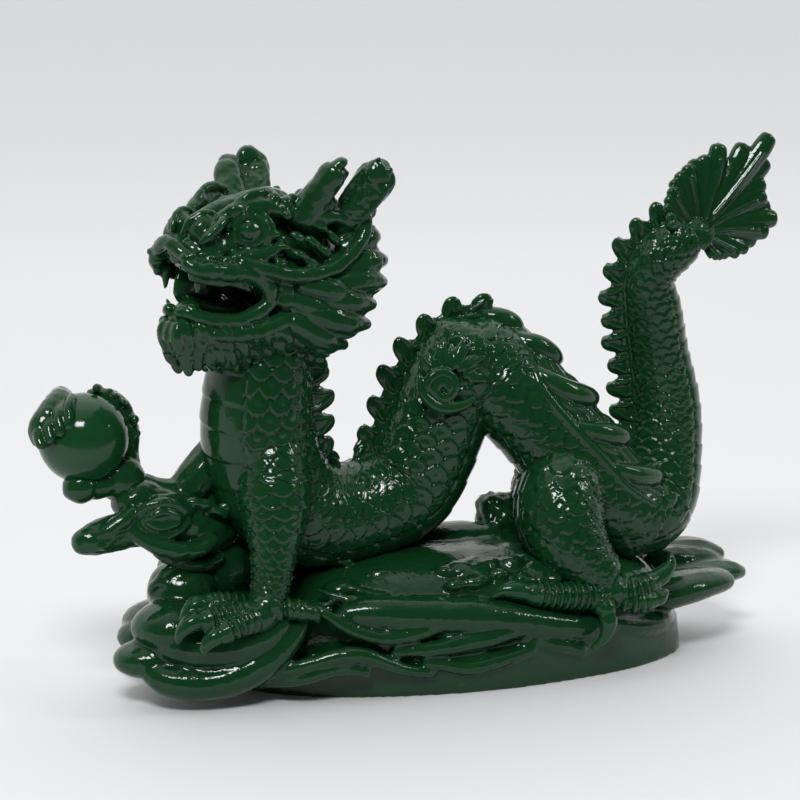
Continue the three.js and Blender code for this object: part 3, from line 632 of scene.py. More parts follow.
def skin(name, line, across=(0, 1, 0), count=14, belly=118, depth=0.85, grain=0.31, first=0.0, last=1.0):
    """A scaled tube along a line of x, y, z, radius. belly is where the belly plates start, in
    degrees round from the ridge of the back, and count is how many scales go round."""
    rows = np.asarray(line, float)
    samples = np.linspace(first, last, 400)
    track = through(rows, samples)
    gaps = np.linalg.norm(np.diff(track[:, :3], axis=0), axis=1)
    run = np.concatenate([[0], np.cumsum(gaps)])
    girth = 2 * math.pi * track[:, 3].mean()
    along_count = int(run[-1] / grain)
    around_count = int(girth / grain)
    pitch = 0.62 * 2 * math.pi * track[:, 3] / count
    row_run = np.concatenate([[0], np.cumsum(gaps / pitch[1:])])
    bm = bmesh.new()
    grid = bmesh.ops.create_grid(bm, x_segments=along_count, y_segments=around_count, size=0.5)["verts"]
    flat = np.array([v.co for v in grid])
    far = (flat[:, 0] + 0.5) * run[-1]
    share = np.interp(far, run, samples)
    row = np.interp(far, run, row_run)
    part_round = np.abs(2 * flat[:, 1])
    turn = np.sign(flat[:, 1]) * np.radians(np.interp(part_round, (0, 0.84, 1), (0, min(belly + 4, 176), 180)))
    place, tangent, up, side = frames(rows, share, across)
    radius = through(rows, share)[:, 3]
    column = turn / (2 * math.pi) * count
    scales = depth * scale_relief(row, column, count)
    plates = 0.6 * depth * plate_relief(row * 0.62)
    round_from_back = np.degrees(np.abs(turn))
    on_belly = np.clip((round_from_back - belly) / 3, 0, 1)
    groove = -0.5 * depth * np.exp(-(((round_from_back - belly) / 2.5) ** 2))
    from_end = np.minimum(far, run[-1] - far)
    rounding = np.sqrt(1 - (1 - np.clip(from_end / (0.6 * radius), 0, 1)) ** 2)
    swell = radius * rounding + (scales * (1 - on_belly) + plates * on_belly + groove) * rounding
    points = place + (up * np.cos(turn)[:, None] - side * np.sin(turn)[:, None]) * swell[:, None]
    for vert, point in zip(grid, points):
        vert.co = point
    bmesh.ops.remove_doubles(bm, verts=bm.verts, dist=1e-3)
    bmesh.ops.recalc_face_normals(bm, faces=bm.faces)
    return link_mesh(name, bm)


neck_skin = skin("neck_and_arch_skin", NECK_LINE)
hand_over(
    neck_skin, "dragon_resin", dragon_resin, "body_neck", "body_front_loop", "body_arch", "belly_plates_neck"
)
descent_skin = skin("descent_skin", DESCENT_LINE, belly=150)
hand_over(descent_skin, "dragon_resin", dragon_resin, "body_descent")
tail_skin = skin("tail_skin", TAIL_LINE, count=12)
hand_over(tail_skin, "dragon_resin", dragon_resin, "body_rear_loop", "body_tail")


# ---------------------------------------------------------------- crests: the saw-edged ridge of the back
# A thin fin down the middle of the back, in four lengths. Its teeth are hooked on the neck and the
# arch, hang over in folds down the descent, and are round on the tail. It is cast on the body.
def evenly(line, first, last, count):
    """count shares of a line between two of its stations, spaced evenly along its back."""
    rows = np.asarray(line, float)
    samples = np.linspace(first, last, 300) / (len(rows) - 1)
    place, tangent, up, side = frames(rows, samples, (0, 1, 0))
    back = place + up * (through(rows, samples)[:, 3:4] + 2)
    run = np.concatenate([[0], np.cumsum(np.linalg.norm(np.diff(back, axis=0), axis=1))])
    return np.interp(np.linspace(0, run[-1], count), run, samples)


def crest(name, node, line, first, last, teeth, tall, hook=0.0, strip_share=0.6, seed=1):
    """first and last are stations of the line and tall holds the height of a tooth at each end. hook
    moves a tooth's tip along the body, as a share of its height."""
    chance = np.random.default_rng(seed)
    clay = Clay()
    shares = evenly(line, first, last, 6 * teeth + 1)
    place, tangent, up, side = frames(line, shares, (0, 1, 0))
    radius = through(line, shares)[:, 3]
    middle_k = 3 * teeth
    pitch = np.linalg.norm((place + up * radius[:, None])[middle_k + 6] - (place + up * radius[:, None])[middle_k])
    height = np.interp(np.linspace(0, 1, len(shares)), (0, 0.35, 1), tall)
    foot = place + up * radius[:, None]
    strip = []
    for k in range(0, len(shares), 2):
        strip.append((*(foot[k] + 0.5 * (strip_share * height[k] - 1) * up[k]), 0.75,
                      0.5 * strip_share * height[k] + 0.5))
    clay.roll(strip, steps=6 * teeth, sides=12)
    for face in (-1, 1):
        cord = [(*(foot[k] + face * 0.9 * side[k] + 0.15 * up[k]), 0.6) for k in range(0, len(shares), 2)]
        clay.roll(cord, steps=6 * teeth, sides=8)
    for k in range(3, len(shares), 6):
        size = height[k] * chance.uniform(0.9, 1.08)
        sway = chance.uniform(-0.5, 0.5)
        shift = hook * size
        low = foot[k] + 0.1 * size * up[k] - 0.1 * shift * tangent[k]
        waist = foot[k] + 0.45 * size * up[k] + 0.1 * shift * tangent[k]
        neck = foot[k] + 0.82 * size * up[k] + 0.5 * shift * tangent[k] + 0.5 * sway * side[k]
        tip = foot[k] + 1.08 * size * up[k] + 1.5 * shift * tangent[k] + sway * side[k]
        clay.roll([(*low, 0.95, 0.5 * pitch), (*waist, 0.9, 0.48 * pitch), (*neck, 0.8, 0.34 * pitch),
                   (*tip, 0.5, 0.13 * pitch)], across=side[k], steps=18, sides=14)
        for face in (-1, 1):
            for edge, far in ((-0.34, 0.72), (0.3, 0.9)):
                start = foot[k] + 0.12 * size * up[k] + edge * pitch * tangent[k] + face * 0.75 * side[k]
                bend = waist + 0.8 * edge * pitch * tangent[k] + face * 0.85 * side[k]
                end = waist.copy() * (1 - far) + tip * far + 0.22 * edge * pitch * tangent[k] + face * 0.6 * side[k]
                clay.roll([(*start, 0.3), (*bend, 0.42), (*end, 0.3)], across=side[k], steps=10, sides=6)
    piece = clay.fuse(name, 0.22, 2)
    hand_over(piece, "dragon_resin", dragon_resin, node)


def folds(name, node, line, first, last, count):
    """The crest down the descent: a smooth cord along its root, and a frill that hangs to the left in
    lapping waves. Each wave starts at the cord and runs out to a hooked tip over the back."""
    clay = Clay()
    shares = evenly(line, first, last, 12 * count + 1)
    place, tangent, up, side = frames(line, shares, (0, 1, 0))
    radius = through(line, shares)[:, 3]
    ends = len(shares) - 1
    grown = np.clip(np.linspace(0, 1, ends + 1) * 3, 0, 1)
    sunk = np.interp(np.linspace(0, 1, ends + 1), (0.6, 1), (1, 0))

    def spot(at, degrees, lift):
        """A point at a station number, turned down the left side from the ridge, above the skin."""
        at = min(max(at, 0), ends)
        low_k = min(int(at), ends - 1)
        share = at - low_k

        def mixed(rows):
            return rows[low_k] * (1 - share) + rows[low_k + 1] * share

        turn_now = math.radians(degrees * mixed(grown))
        ray = mixed(up) * math.cos(turn_now) + left_hand * mixed(side) * math.sin(turn_now)
        return mixed(place) + ray * (mixed(radius) - 0.8 + 0.8 * mixed(sunk)
                                 + 0.66 * lift * (0.2 + 0.8 * mixed(grown)) * (0.15 + 0.85 * mixed(sunk)))

    left_hand = -1 if side[ends // 2][1] > 0 else 1
    clay.roll([(*spot(k, 64, 0.5), 1.0) for k in range(0, ends + 1, 3)], steps=8 * count, sides=10)
    clay.roll([(*spot(k, 70, 0.1), 0.55) for k in range(0, ends + 1, 3)], steps=8 * count, sides=8)
    for degrees, lift, wide in ((50, -0.2, 1.3), (38, 0.2, 1.6), (25, 0.7, 1.8), (12, 1.2, 1.8), (0, 1.4, 1.6)):
        clay.roll([(*spot(k, degrees, lift), wide) for k in range(0, ends + 1, 3)], steps=7 * count, sides=10)
    clay.roll([(*spot(k, -2, 2.2), 0.9) for k in range(0, ends + 1, 3)], steps=7 * count, sides=10)
    for k in range(count):
        at = 12 * k + 5
        wave = [(*spot(at - 8, 60, 0.4), 0.8), (*spot(at - 5, 52, 1.4), 1.5), (*spot(at - 2, 41, 2.3), 2.1),
                (*spot(at + 1, 28, 3.0), 2.3), (*spot(at + 3.4, 15, 3.8), 2.0), (*spot(at + 4.6, 4, 4.4), 1.3),
                (*spot(at + 4, -3, 4.2), 0.7)]
        clay.roll(wave, steps=32, sides=16)
        clay.roll([(*spot(at - 5, 22, 1.6), 0.9), (*spot(at - 2, 10, 2.6), 1.3), (*spot(at + 1.6, 1, 3.2), 1.1)],
                  steps=18, sides=12)
        clay.roll([(*spot(at - 3, 58, 1.0), 0.4), (*spot(at + 1, 50, 1.6), 0.6), (*spot(at + 5, 38, 1.6), 0.5)],
                  steps=14, sides=8)
    piece = clay.fuse(name, 0.24, 2)
    hand_over(piece, "dragon_resin", dragon_resin, node)


crest_high = 5.8
OVER_ARCH = NECK_LINE[6:9] + [
    (arch_x - 4.4, 4, arch_z - 0.24 * arch_rise, 0.97 * thick),
    (arch_x + 0.2, 4, arch_z + 0.5, 0.82 * thick),
    (arch_x + 5.2, 3.4, arch_z - 2.6, 0.85 * thick),
    (arch_x + 9.8, 0, arch_z - 0.355 * arch_rise, 0.9 * thick),
]
DOWN_LINE = OVER_ARCH[3:6] + DESCENT_LINE[3:7]
crest("crest_neck_fin", "crest_neck", NECK_LINE, 1.0, 6.05, 5, (0.62 * crest_high, 0.8 * crest_high, 0.42 * crest_high),
      hook=-0.22, seed=2)
crest("crest_arch_fin", "crest_arch", OVER_ARCH, 0.3, 4.3, 8, (0.5 * crest_high, 0.92 * crest_high, 0.62 * crest_high),
      hook=0.24, seed=3)
folds("crest_descent_folds", "crest_descent", DOWN_LINE, 1.2, 6.4, 6)
crest("crest_tail_fin", "crest_tail", TAIL_LINE, 2.3, 9.5, 12, (0.9 * crest_high, 0.88 * crest_high, 0.7 * crest_high), hook=0.16,
      seed=5)

# ---------------------------------------------------------------- flank lock: a curl of mane under the arch
# One spiral curl with a sickle-shaped lower lip, and a fan of fine hair that sweeps up from it.
def flank_lock():
    low_corner, high_corner = node_box("flank_scroll")
    x, y, z = (low_corner + high_corner) / 2
    x, y, z = x - 1.2, low_corner.y + 1.5, z + 3
    clay = Clay()
    spiral = []
    for k in range(17):
        angle = math.radians(200 - 38 * k)
        reach = 3.1 * (1 - k / 19)
        spiral.append((x - 1.6 + reach * math.cos(angle), y - 0.05 * k, z - 1.4 + reach * math.sin(angle),
                       0.95 - 0.025 * k, 1.1))
    clay.roll(spiral, across=(0, 1, 0), steps=60, sides=8)
    clay.roll([(x - 5.6, y + 0.8, z + 1.4, 0.5), (x - 5.4, y, z - 2, 0.9), (x - 2.4, y - 0.4, z - 4.9, 1.2),
               (x + 2, y, z - 5, 1.1), (x + 5.2, y + 0.8, z - 3.6, 0.5)], across=(0, 1, 0), steps=26)
    clay.ball((x - 1.4, y + 0.8, z - 1.4), (3.2, 1.2, 3.2))
    for k in range(17):
        turn = math.radians(168 - 9.5 * k)
        reach = 7.4 + 1.3 * math.sin(1.7 * k)
        bend = math.radians(-22)
        points = []
        for part, radius in ((0.32, 0.5), (0.6, 0.75), (0.85, 0.6), (1, 0.25)):
            angle = turn + bend * part
            points.append((x + 0.6 + reach * part * math.cos(angle), y + 0.35 + 1.6 * part**2,
                           z - 0.8 + reach * part * math.sin(angle), radius))
        clay.roll(points, across=(0, 1, 0), steps=14, sides=8)
    piece = clay.fuse("flank_curl", 0.2, 2)
    hand_over(piece, "dragon_resin", dragon_resin, "flank_scroll")


flank_lock()

# ---------------------------------------------------------------- tail fin: a cupped and ribbed fan
# The tail ends in a cupped fan with three main points. Close ribs run from its root out to the rim,
# and the rim is scalloped between the points. It is cast on the end of the tail.
def tail_fan():
    root = Vector((tail_x + 4.6, 1, tip_z - 1.0))
    turns = (-62, -40, -22, -6, 4, 11, 19, 30, 39, 45, 51, 57, 62, 67, 72, 77, 84, 96, 114, 140, 160)
    reaches = (6, 8.4, 12, 15, 18.4, 18.4, 17, 17.8, 20.4, 24.4, 25.2, 21, 16.8, 16.4, 18.4, 18.4, 15.4, 14.6, 12.8, 10.8, 9)
    clay = Clay()
    chance = np.random.default_rng(8)
    ribs = 27
    for k in range(ribs):
        degrees = -62 + 222 * k / (ribs - 1)
        reach = np.interp(degrees, turns, reaches) - 0.9
        fold = (0.55, -0.35, 0.0)[k % 3] + chance.uniform(-0.15, 0.15)
        droop = math.radians(12 * math.sin(math.radians(2 * (degrees - 40))))
        side_share = ((degrees - 40) / 96) ** 2
        stations = []
        for part in (-0.08, 0.15, 0.4, 0.65, 0.86, 1.0):
            turn_now = math.radians(degrees) - droop * (1 - part)
            cup = 2.4 * part - 4.2 * part * side_share + fold * part
            wide = (0.75 + 0.95 * max(part, 0)) * min(reach / 15, 1.25) * (0.7 if part == 1.0 else 1)
            stations.append((root.x + reach * part * math.cos(turn_now), root.y + cup,
                             root.z + reach * part * math.sin(turn_now), 0.72 * wide + 0.1, 1.0 * wide + 0.1))
        clay.roll(stations, across=(0, 1, 0), steps=26, sides=12)
        if k % 3 == 1:
            fine = [(x, y - 1.0 * w, z, 0.4) for x, y, z, w, h in stations[1:5]]
            clay.roll(fine, across=(0, 1, 0), steps=16, sides=6)
    clay.ball(root + Vector((-0.6, 0, 0)), (3.0, 2.8, 3.2))
    for k in range(5):
        angle = math.radians(150 + 32 * k)
        clay.roll([(root.x - 0.4 + 2.6 * math.cos(angle), root.y - 2.2, root.z + 2.9 * math.sin(angle), 0.5),
                   (root.x + 0.9 * math.cos(angle) + 0.8, root.y - 2.9, root.z + 1.2 * math.sin(angle), 0.7),
                   (root.x + 2.8, root.y - 1.8, root.z + 1.2 - 0.4 * k, 0.4)], steps=12, sides=8)
    piece = clay.fuse("tail_fan", 0.24, 2)
    hand_over(piece, "dragon_resin", dragon_resin, "tail_fin")


tail_fan()

# ---------------------------------------------------------------- legs: scaled thighs, ringed toes, smooth claws
# Four short legs. The hind pair grip the mound, the left foreleg stands on the front clouds, and the
# right one reaches forward. Thighs and shoulders are scaled, toes are ringed and claws are smooth.
def toe(clay, points, thick_at, rings, claw):
    """A ringed toe along points that ends in a smooth claw with tip points of its own."""
    radii = np.interp(np.linspace(0, 1, len(points)), np.linspace(0, 1, len(thick_at)), thick_at)
    stations = [(*p, 0.92 * r) for p, r in zip(points, radii)]
    clay.roll([(x, y, z, 0.9 * r) for x, y, z, r in stations], steps=20, sides=12)
    shares = np.linspace(0.12, 0.92, rings)
    place, tangent, up, side = frames(stations, shares, (0.1, 0.9, 0.2))
    size = np.interp(shares, np.linspace(0, 1, len(thick_at)), thick_at)
    for k in range(rings):
        spin = Vector(tangent[k]).to_track_quat("X", "Z").to_matrix().to_4x4()
        flat_ball = Matrix.Diagonal((0.45 * np.linalg.norm(place[1] - place[0]), 1.22 * size[k], 1.22 * size[k], 1))
        matrix = clay.place @ Matrix.Translation(place[k]) @ spin @ flat_ball
        bmesh.ops.create_icosphere(clay.bm, subdivisions=3, radius=1, matrix=matrix)
    last = np.array(points[-1], float)
    ball = radii[-1] * 1.12
    clay.ball(last, (ball, ball, ball), detail=2)
    path = [(*last, 0.85 * radii[-1])] + [
        (*tip, r * radii[-1]) for tip, r in zip(claw, np.linspace(0.95, 0.22, len(claw)))
    ]
    clay.roll(path, steps=18, sides=12)


shin_x, shin_y = neck_x - 2.2, -14.6
LEFT_FORELEG = [
    (neck_x + 1.8, -5, loop_z + 22, 2.8),
    (neck_x + 1.6, -7.0, loop_z + 17, 5.2),
    (neck_x + 1.4, -8.6, loop_z + 10.5, 6.3),
    (neck_x + 1.2, -10.4, loop_z + 4.2, 5.6),
    (neck_x + 0.4, -12.4, loop_z - 1.8, 3.8),
    (neck_x - 0.8, -13.6, mound_top - 2.5, 2.9),
    (neck_x - 2.2, -14.2, mound_top - 6, 2.6),
]
foreleg_left = skin("foreleg_left_skin", LEFT_FORELEG, count=10, belly=172, depth=0.72, grain=0.25)
hand_over(foreleg_left, "dragon_resin", dragon_resin, "foreleg_left")


def left_forepaw():
    clay = Clay()
    x, y, z = shin_x, shin_y, mound_top - 6
    clay.ball((x - 2.2, y - 0.6, z - 0.4), (5, 3.6, 3.2))
    clay.ball((x + 0.6, y, z + 1.4), (3.2, 3.2, 2.8))
    toe(clay, [(x - 3, y + 1, z + 0.6), (x - 7, y + 1, z + 1.8), (x - 10, y + 0.4, z + 2)], (2.2, 1.9), 6,
        [(x - 12, y, z + 2.4), (x - 14, y - 0.6, z + 1), (x - 15, y - 1, z - 1)])
    toe(clay, [(x - 3, y - 1, z), (x - 7, y - 2, z + 0.6), (x - 11, y - 2.6, z + 0.2)], (2.3, 1.9), 6,
        [(x - 13.4, y - 3, z + 0.2), (x - 15.6, y - 3.4, z - 1.4), (x - 16.2, y - 3.6, z - 3.4)])
    toe(clay, [(x - 2, y - 2, z - 0.6), (x - 5, y - 3.4, z - 0.8), (x - 8, y - 4.2, z - 1.8)], (2.1, 1.8), 5,
        [(x - 10, y - 4.4, z - 2.4), (x - 11.6, y - 4.6, z - 4), (x - 11.8, y - 4.6, z - 5.6)])
    toe(clay, [(x + 2, y - 0.6, z + 0.4), (x + 5, y - 1, z + 0.6), (x + 7, y - 1.4, z)], (1.9, 1.6), 4,
        [(x + 8.6, y - 1.6, z - 0.6), (x + 9.8, y - 1.8, z - 2.4)])
    hand_over(clay.fuse("left_forepaw", 0.26, 2), "dragon_resin", dragon_resin, "forepaw_left")


def hind_leg(hand, side_sign):
    hip = rear_x - (13 if side_sign < 0 else 7)
    line = [
        (hip - 1, -1 + 2 * side_sign, loop_z + 9, 4.5),
        (hip - 4, -1 + 5 * side_sign, loop_z + 5.6, 7.4),
        (hip - 5.6, 8.6 * side_sign, loop_z + 0.5, 8.0),
        (hip - 4.4, 11.4 * side_sign, loop_z - 5, 6.7),
        (hip - 0.6, 13.6 * side_sign, mound_top - 3.6, 4.7),
        (hip + 3.4, 15.0 * side_sign, mound_top - 5.4, 3.4),
    ]
    leg = skin(f"hindleg_{hand}_skin", line, count=13, belly=172, depth=0.78, grain=0.27)
    hand_over(leg, "dragon_resin", dragon_resin, f"hindleg_{hand}")
    x, y, z = hip, 15.5 * side_sign, mound_top - 7.5
    clay = Clay()
    clay.ball((x + 1.4, y - 0.4 * side_sign, z), (5.6, 3.4, 3.4))
    clay.ball((x + 5, y - 1.4 * side_sign, z + 1), (3.2, 2.8, 2.6))
    toe(clay, [(x, y, z), (x - 7, y + 1.4 * side_sign, z + 0.4), (x - 14, y + 1.6 * side_sign, z + 1.4)],
        (2.7, 1.9), 10, [(x - 17, y + 1.4 * side_sign, z + 2.2), (x - 20, y + 1.1 * side_sign, z + 2.2),
                         (x - 22, y + 0.7 * side_sign, z + 0.6)])
    toe(clay, [(x + 2, y, z + 0.2), (x + 6, y + 0.8 * side_sign, z + 0.2), (x + 9.6, y + 0.2 * side_sign, z + 1.2)],
        (2.5, 1.9), 6, [(x + 12, y - 0.2 * side_sign, z + 2.2), (x + 14, y - 0.8 * side_sign, z + 4),
                        (x + 14, y - 1 * side_sign, z + 6)])
    toe(clay, [(x + 2, y, z - 1), (x + 5.6, y + 1.6 * side_sign, z - 1.8), (x + 9, y + 1.6 * side_sign, z - 1.8)],
        (2.2, 1.6), 5, [(x + 11, y + 1.4 * side_sign, z - 1.4), (x + 13, y + 1 * side_sign, z - 0.4)])
    toe(clay, [(x - 1, y + 1 * side_sign, z - 0.6), (x - 0.4, y + 3.2 * side_sign, z - 2.2)], (2.2, 1.8), 3,
        [(x - 0.2, y + 4 * side_sign, z - 4.6), (x - 1, y + 4 * side_sign, z - 7.4),
         (x - 3.4, y + 3.2 * side_sign, z - 9.6)])
    hand_over(clay.fuse(f"hindpaw_{hand}_toes", 0.28, 2), "dragon_resin", dragon_resin, f"hindpaw_{hand}")


left_forepaw()
hind_leg("left", -1)
hind_leg("right", 1)

# ---------------------------------------------------------------- pearl and the arm that holds it
# The flaming pearl: a polished ball held out in the right forepaw. Three ringed fingers wrap it, and
# the forearm behind is carved with nested lens-shaped scrolls.
pearl_low, pearl_high = node_box("pearl")
pearl_centre = (pearl_low + pearl_high) / 2 + Vector((0, 0, 1.2))
pearl_radius = (pearl_high.z - pearl_low.z) / 2
# The first colour is the dark end, for the darker random tone and the painted shade in the hollows; the second is the
# lit end.
pearl_resin = lacquered("pearl_resin", (0.005, 0.042, 0.012), (0.009, 0.07, 0.02), 0.12, 0.02)


def pearl_ball():
    bm = bmesh.new()
    bmesh.ops.create_icosphere(bm, subdivisions=5, radius=pearl_radius, matrix=Matrix.Translation(pearl_centre))
    ball = link_mesh("pearl_ball", bm)
    press(ball, lambda points: 0.08 * rough(points, 6, 4))
    hand_over(ball, "pearl_resin", pearl_resin, "pearl")


wrist = Vector((pearl_centre.x + 6.6, -1.2, pearl_centre.z - 8.4))


def pearl_arm():
    clay = Clay()
    x, z = neck_x, loop_z
    clay.roll([(x + 3, 4, z + 10, 4.6), (x - 3, 5.6, z + 7, 5.2), (x - 8, 3.4, z + 5, 5.2), (x - 12, 1, z + 3, 4.6)],
              steps=24)
    clay.roll([(x - 3, 2, z - 1.5, 4.4), (x - 9, 0.4, z + 0.2, 5.6, 5.0), (x - 14, -1, z + 2.4, 5.8, 5.2),
               (x - 18.5, -1.5, z + 4, 5.4, 5.2), (x - 22, -1.5, z + 7, 4.4, 4.4), (*wrist, 3.9, 3.7)],
              steps=34, sides=18)
    clay.roll([(x - 4, 2, z + 17, 3.4), (x - 9, 1, z + 10.5, 4.0), (x - 14, 0.4, z + 6.5, 3.4),
               (x - 20.6, 0, z + 8.6, 2.8), (wrist.x + 1.6, 0, wrist.z + 1, 2.8)], steps=26)
    # The spur: a blunt lobe that points forward and down from the wrist, creased along its top.
    clay.roll([(x - 16, -2.6, z + 1.2, 3.4, 3.0), (x - 22, -3.8, z + 2.2, 3.4, 3.4), (x - 27.4, -4.8, z + 1.8, 3.2, 3.3),
               (x - 31, -5.2, z + 1.0, 2.6, 2.8), (x - 34.2, -5.4, z + 0.4, 1.5)], steps=34, sides=16)
    clay.roll([(x - 22.4, -5.6, z + 6, 1.3), (x - 25, -6.6, z + 4.6, 1.5), (x - 28, -7, z + 3, 1.3),
               (x - 31, -6.8, z + 1.8, 0.8)], steps=20)
    for k in range(3):
        clay.roll([(x - 23 - 1.6 * k, -6.4, z + 2.6 - k, 0.5), (x - 26.4 - 1.2 * k, -7.4, z + 2.2 - 0.9 * k, 0.75),
                   (x - 29.6 - 0.6 * k, -7, z + 1.4 - 0.5 * k, 0.5)], steps=12, sides=8)
    # Two nested lens scrolls on the forearm with a sickle-shaped band below.
    centre = Vector((x - 18.2, -7.5, z + 4.4))
    for reach, high, lift, wide in ((5.4, 3.0, 0.0, 0.85), (3.2, 1.4, 0.6, 0.75)):
        for half in (1, -1):
            lens = []
            for part in np.linspace(-1, 1, 7):
                lens.append((centre.x + reach * part, centre.y - lift + 0.05 * (reach * part) ** 2,
                             centre.z - 0.06 * reach * part + half * high * (1 - part**2), wide))
            clay.roll(lens, steps=26, sides=10)
    clay.ball(centre + Vector((0, 0.6, 0)), (4.2, 1.6, 2.0))
    clay.roll([(x - 25, -6.0, z + 3.6, 0.8), (x - 21, -7.4, z + 0.4, 1.4), (x - 16, -7.8, z - 1.4, 1.7),
               (x - 11, -7, z - 1.4, 1.4), (x - 8, -5.6, z + 0.2, 0.8)], steps=30)
    clay.roll([(x - 20, -5.2, z - 1.6, 0.8), (x - 15, -6.0, z - 4, 1.3), (x - 10, -5, z - 5, 1.3),
               (x - 6, -3, z - 4, 0.8)], steps=24)
    # Curling hair over the elbow.
    for k in range(7):
        start = Vector((x - 20 + 2.0 * k, -5.2 + 0.2 * k, z + 7.0 - 0.5 * k + 0.6 * math.sin(2.2 * k)))
        clay.roll([(*start, 0.5), (*(start + Vector((1.4, -1.0, 0.9))), 0.9), (*(start + Vector((3.0, -0.9, 0.4))), 0.9),
                   (*(start + Vector((3.8, -0.8, -1.0))), 0.5)], steps=14, sides=8)
    arm = clay.fuse("pearl_arm", 0.28, 3)
    press(arm, lambda points: 0.16 * rough(points, 1.8, 12))
    hand_over(arm, "dragon_resin", dragon_resin, "foreleg_right_upper", "foreleg_right_forearm")


def pearl_hand():
    clay = Clay()
    x, y, z = pearl_centre
    r = pearl_radius
    clay.ball(wrist + Vector((-0.2, 0.6, 0.8)), (4.4, 4.0, 4.2))
    clay.roll([(*(wrist + Vector((0.4, 0.6, 0))), 3.8), (x + 0.93 * r, y + 0.2 * r, z - 0.5 * r, 2.8),
               (x + 1.03 * r, y + 0.25 * r, z, 2.2), (x + 0.9 * r, y + 0.25 * r, z + 0.55 * r, 1.9),
               (x + 0.6 * r, y + 0.25 * r, z + 0.8 * r, 1.7), (x + 0.1 * r, y + 0.2 * r, z + 0.94 * r, 1.2)], steps=34)
    chance = np.random.default_rng(31)
    for k in range(26):
        angle = math.radians(chance.uniform(-30, 86))
        deep_y = y + chance.uniform(-0.05, 0.5) * r
        size = chance.uniform(0.5, 0.95)
        clay.ball((x + 1.2 * r * math.cos(angle), deep_y, z + 1.13 * r * math.sin(angle)), (size, size, size), detail=2)
    over = [(*(wrist + Vector((-3, 4, 2))), 2.4), (x, y + 1.04 * r, z - 2, 2.3),
            (x - 0.3 * r, y + 0.8 * r, z + 0.66 * r, 2.3), (x - 0.48 * r, y + 0.2 * r, z + 0.84 * r, 2.1),
            (x - 0.76 * r, y - 0.2 * r, z + 0.62 * r, 2.4), (x - 0.98 * r, y - 0.35 * r, z + 0.3 * r, 2.4),
            (x - 0.96 * r, y - 0.5 * r, z - 0.06 * r, 1.5)]
    clay.roll(over, across=(1, 0, 0), steps=40)
    clay.ball((x - 0.72 * r, y - 0.2 * r, z + 0.5 * r), (2.6, 2.4, 2.8))
    for k in range(4):
        top = Vector((x - (0.24 + 0.24 * k) * r, y - 0.12 * r, z + (1.0 - 0.14 * k) * r))
        mid_spot = Vector((x - (0.4 + 0.23 * k) * r, y - 0.58 * r, z + (0.8 - 0.18 * k) * r))
        low_spot = Vector((x - (0.44 + 0.2 * k) * r, y - 0.82 * r, z + (0.34 - 0.12 * k) * r))
        clay.roll([(*top, 0.8), (*mid_spot, 1.05), (*low_spot, 0.8)], steps=16, sides=10)
    clay.ball((x - 0.16 * r, y - 0.35 * r, z - 1.02 * r), (3.2, 2.8, 2.9))
    clay.roll([(*(wrist + Vector((-1, 0, 1.0))), 3.0), (x + 0.36 * r, y - 0.25 * r, z - 1.02 * r, 2.4),
               (x - 0.1 * r, y - 0.35 * r, z - 1.08 * r, 2.4)], steps=20)
    hand = clay.fuse("pearl_hand", 0.26, 3)
    press(hand, lambda points: 0.14 * rough(points, 1.5, 14))
    hand_over(hand, "dragon_resin", dragon_resin, "forepaw_right")


pearl_ball()
pearl_arm()
pearl_hand()

# ---------------------------------------------------------------- head: skull, jaws, eyes, horns and ears
# The dragon's head is turned towards its left, with the mouth open. It is modelled in its own frame:
# -x runs out along the snout, z is up, and each side is made by a loop.
head_turn = Matrix.Rotation(math.radians(24), 4, "Z")
skull_low, skull_high = node_box("head_skull")
head_place = Matrix.Translation((neck_x + 4.3, -4.5, neck_z + 13.6)) @ head_turn


def head_core():
    clay = Clay(head_place)
    clay.ball((0.5, 0, 2.6), (10.6, 8.4, 8.2))
    clay.ball((-5, 0, 4), (8, 7.6, 6.2))
    clay.roll([(-2, 0, 6, 7.2, 4.6), (-9, 0, 6, 6.8, 4.2), (-15, 0, 4.8, 6.2, 3.8), (-20, 0, 3.8, 5.6, 3.2),
               (-24, 0, 3.6, 4.4, 2.2)], steps=28, sides=24)
    clay.roll([(-4, 0, -7, 6.4, 3.6), (-10, 0, -9.4, 5.8, 2.8), (-16, 0, -9.6, 5.0, 2.4), (-21, 0, -8.6, 3.9, 2.0),
               (-24, 0, -7.4, 2.2, 1.5)], steps=28, sides=24)
    clay.roll([(-9, 0, -6.2, 3.0, 1.3), (-14, 0, -6.6, 3.2, 1.2), (-18.5, 0, -5.4, 2.8, 1.2),
               (-21, 0, -4.2, 1.8, 0.9)], steps=22)
    clay.ball((-21.6, -1.6, -5.6), (2.0, 2.2, 1.5))
    clay.roll([(-22.6, -4.8, 2.4, 1.1), (-24.0, -3.2, 4.2, 1.3), (-24.3, 0, 5.6, 1.5), (-24.0, 3.2, 4.2, 1.3),
               (-22.6, 4.8, 2.4, 1.1)], across=(1, 0, 0), steps=26)
    clay.roll([(-20, 0, 8, 1.4), (-15, 0, 9.6, 1.9), (-11, 0, 10.2, 2.3), (-5, 0, 10.6, 3.0), (2, 0, 10.4, 2.6)],
              steps=24)
    clay.ball((-16.4, 0, 7.6), (3.2, 3.4, 2.4))
    return clay


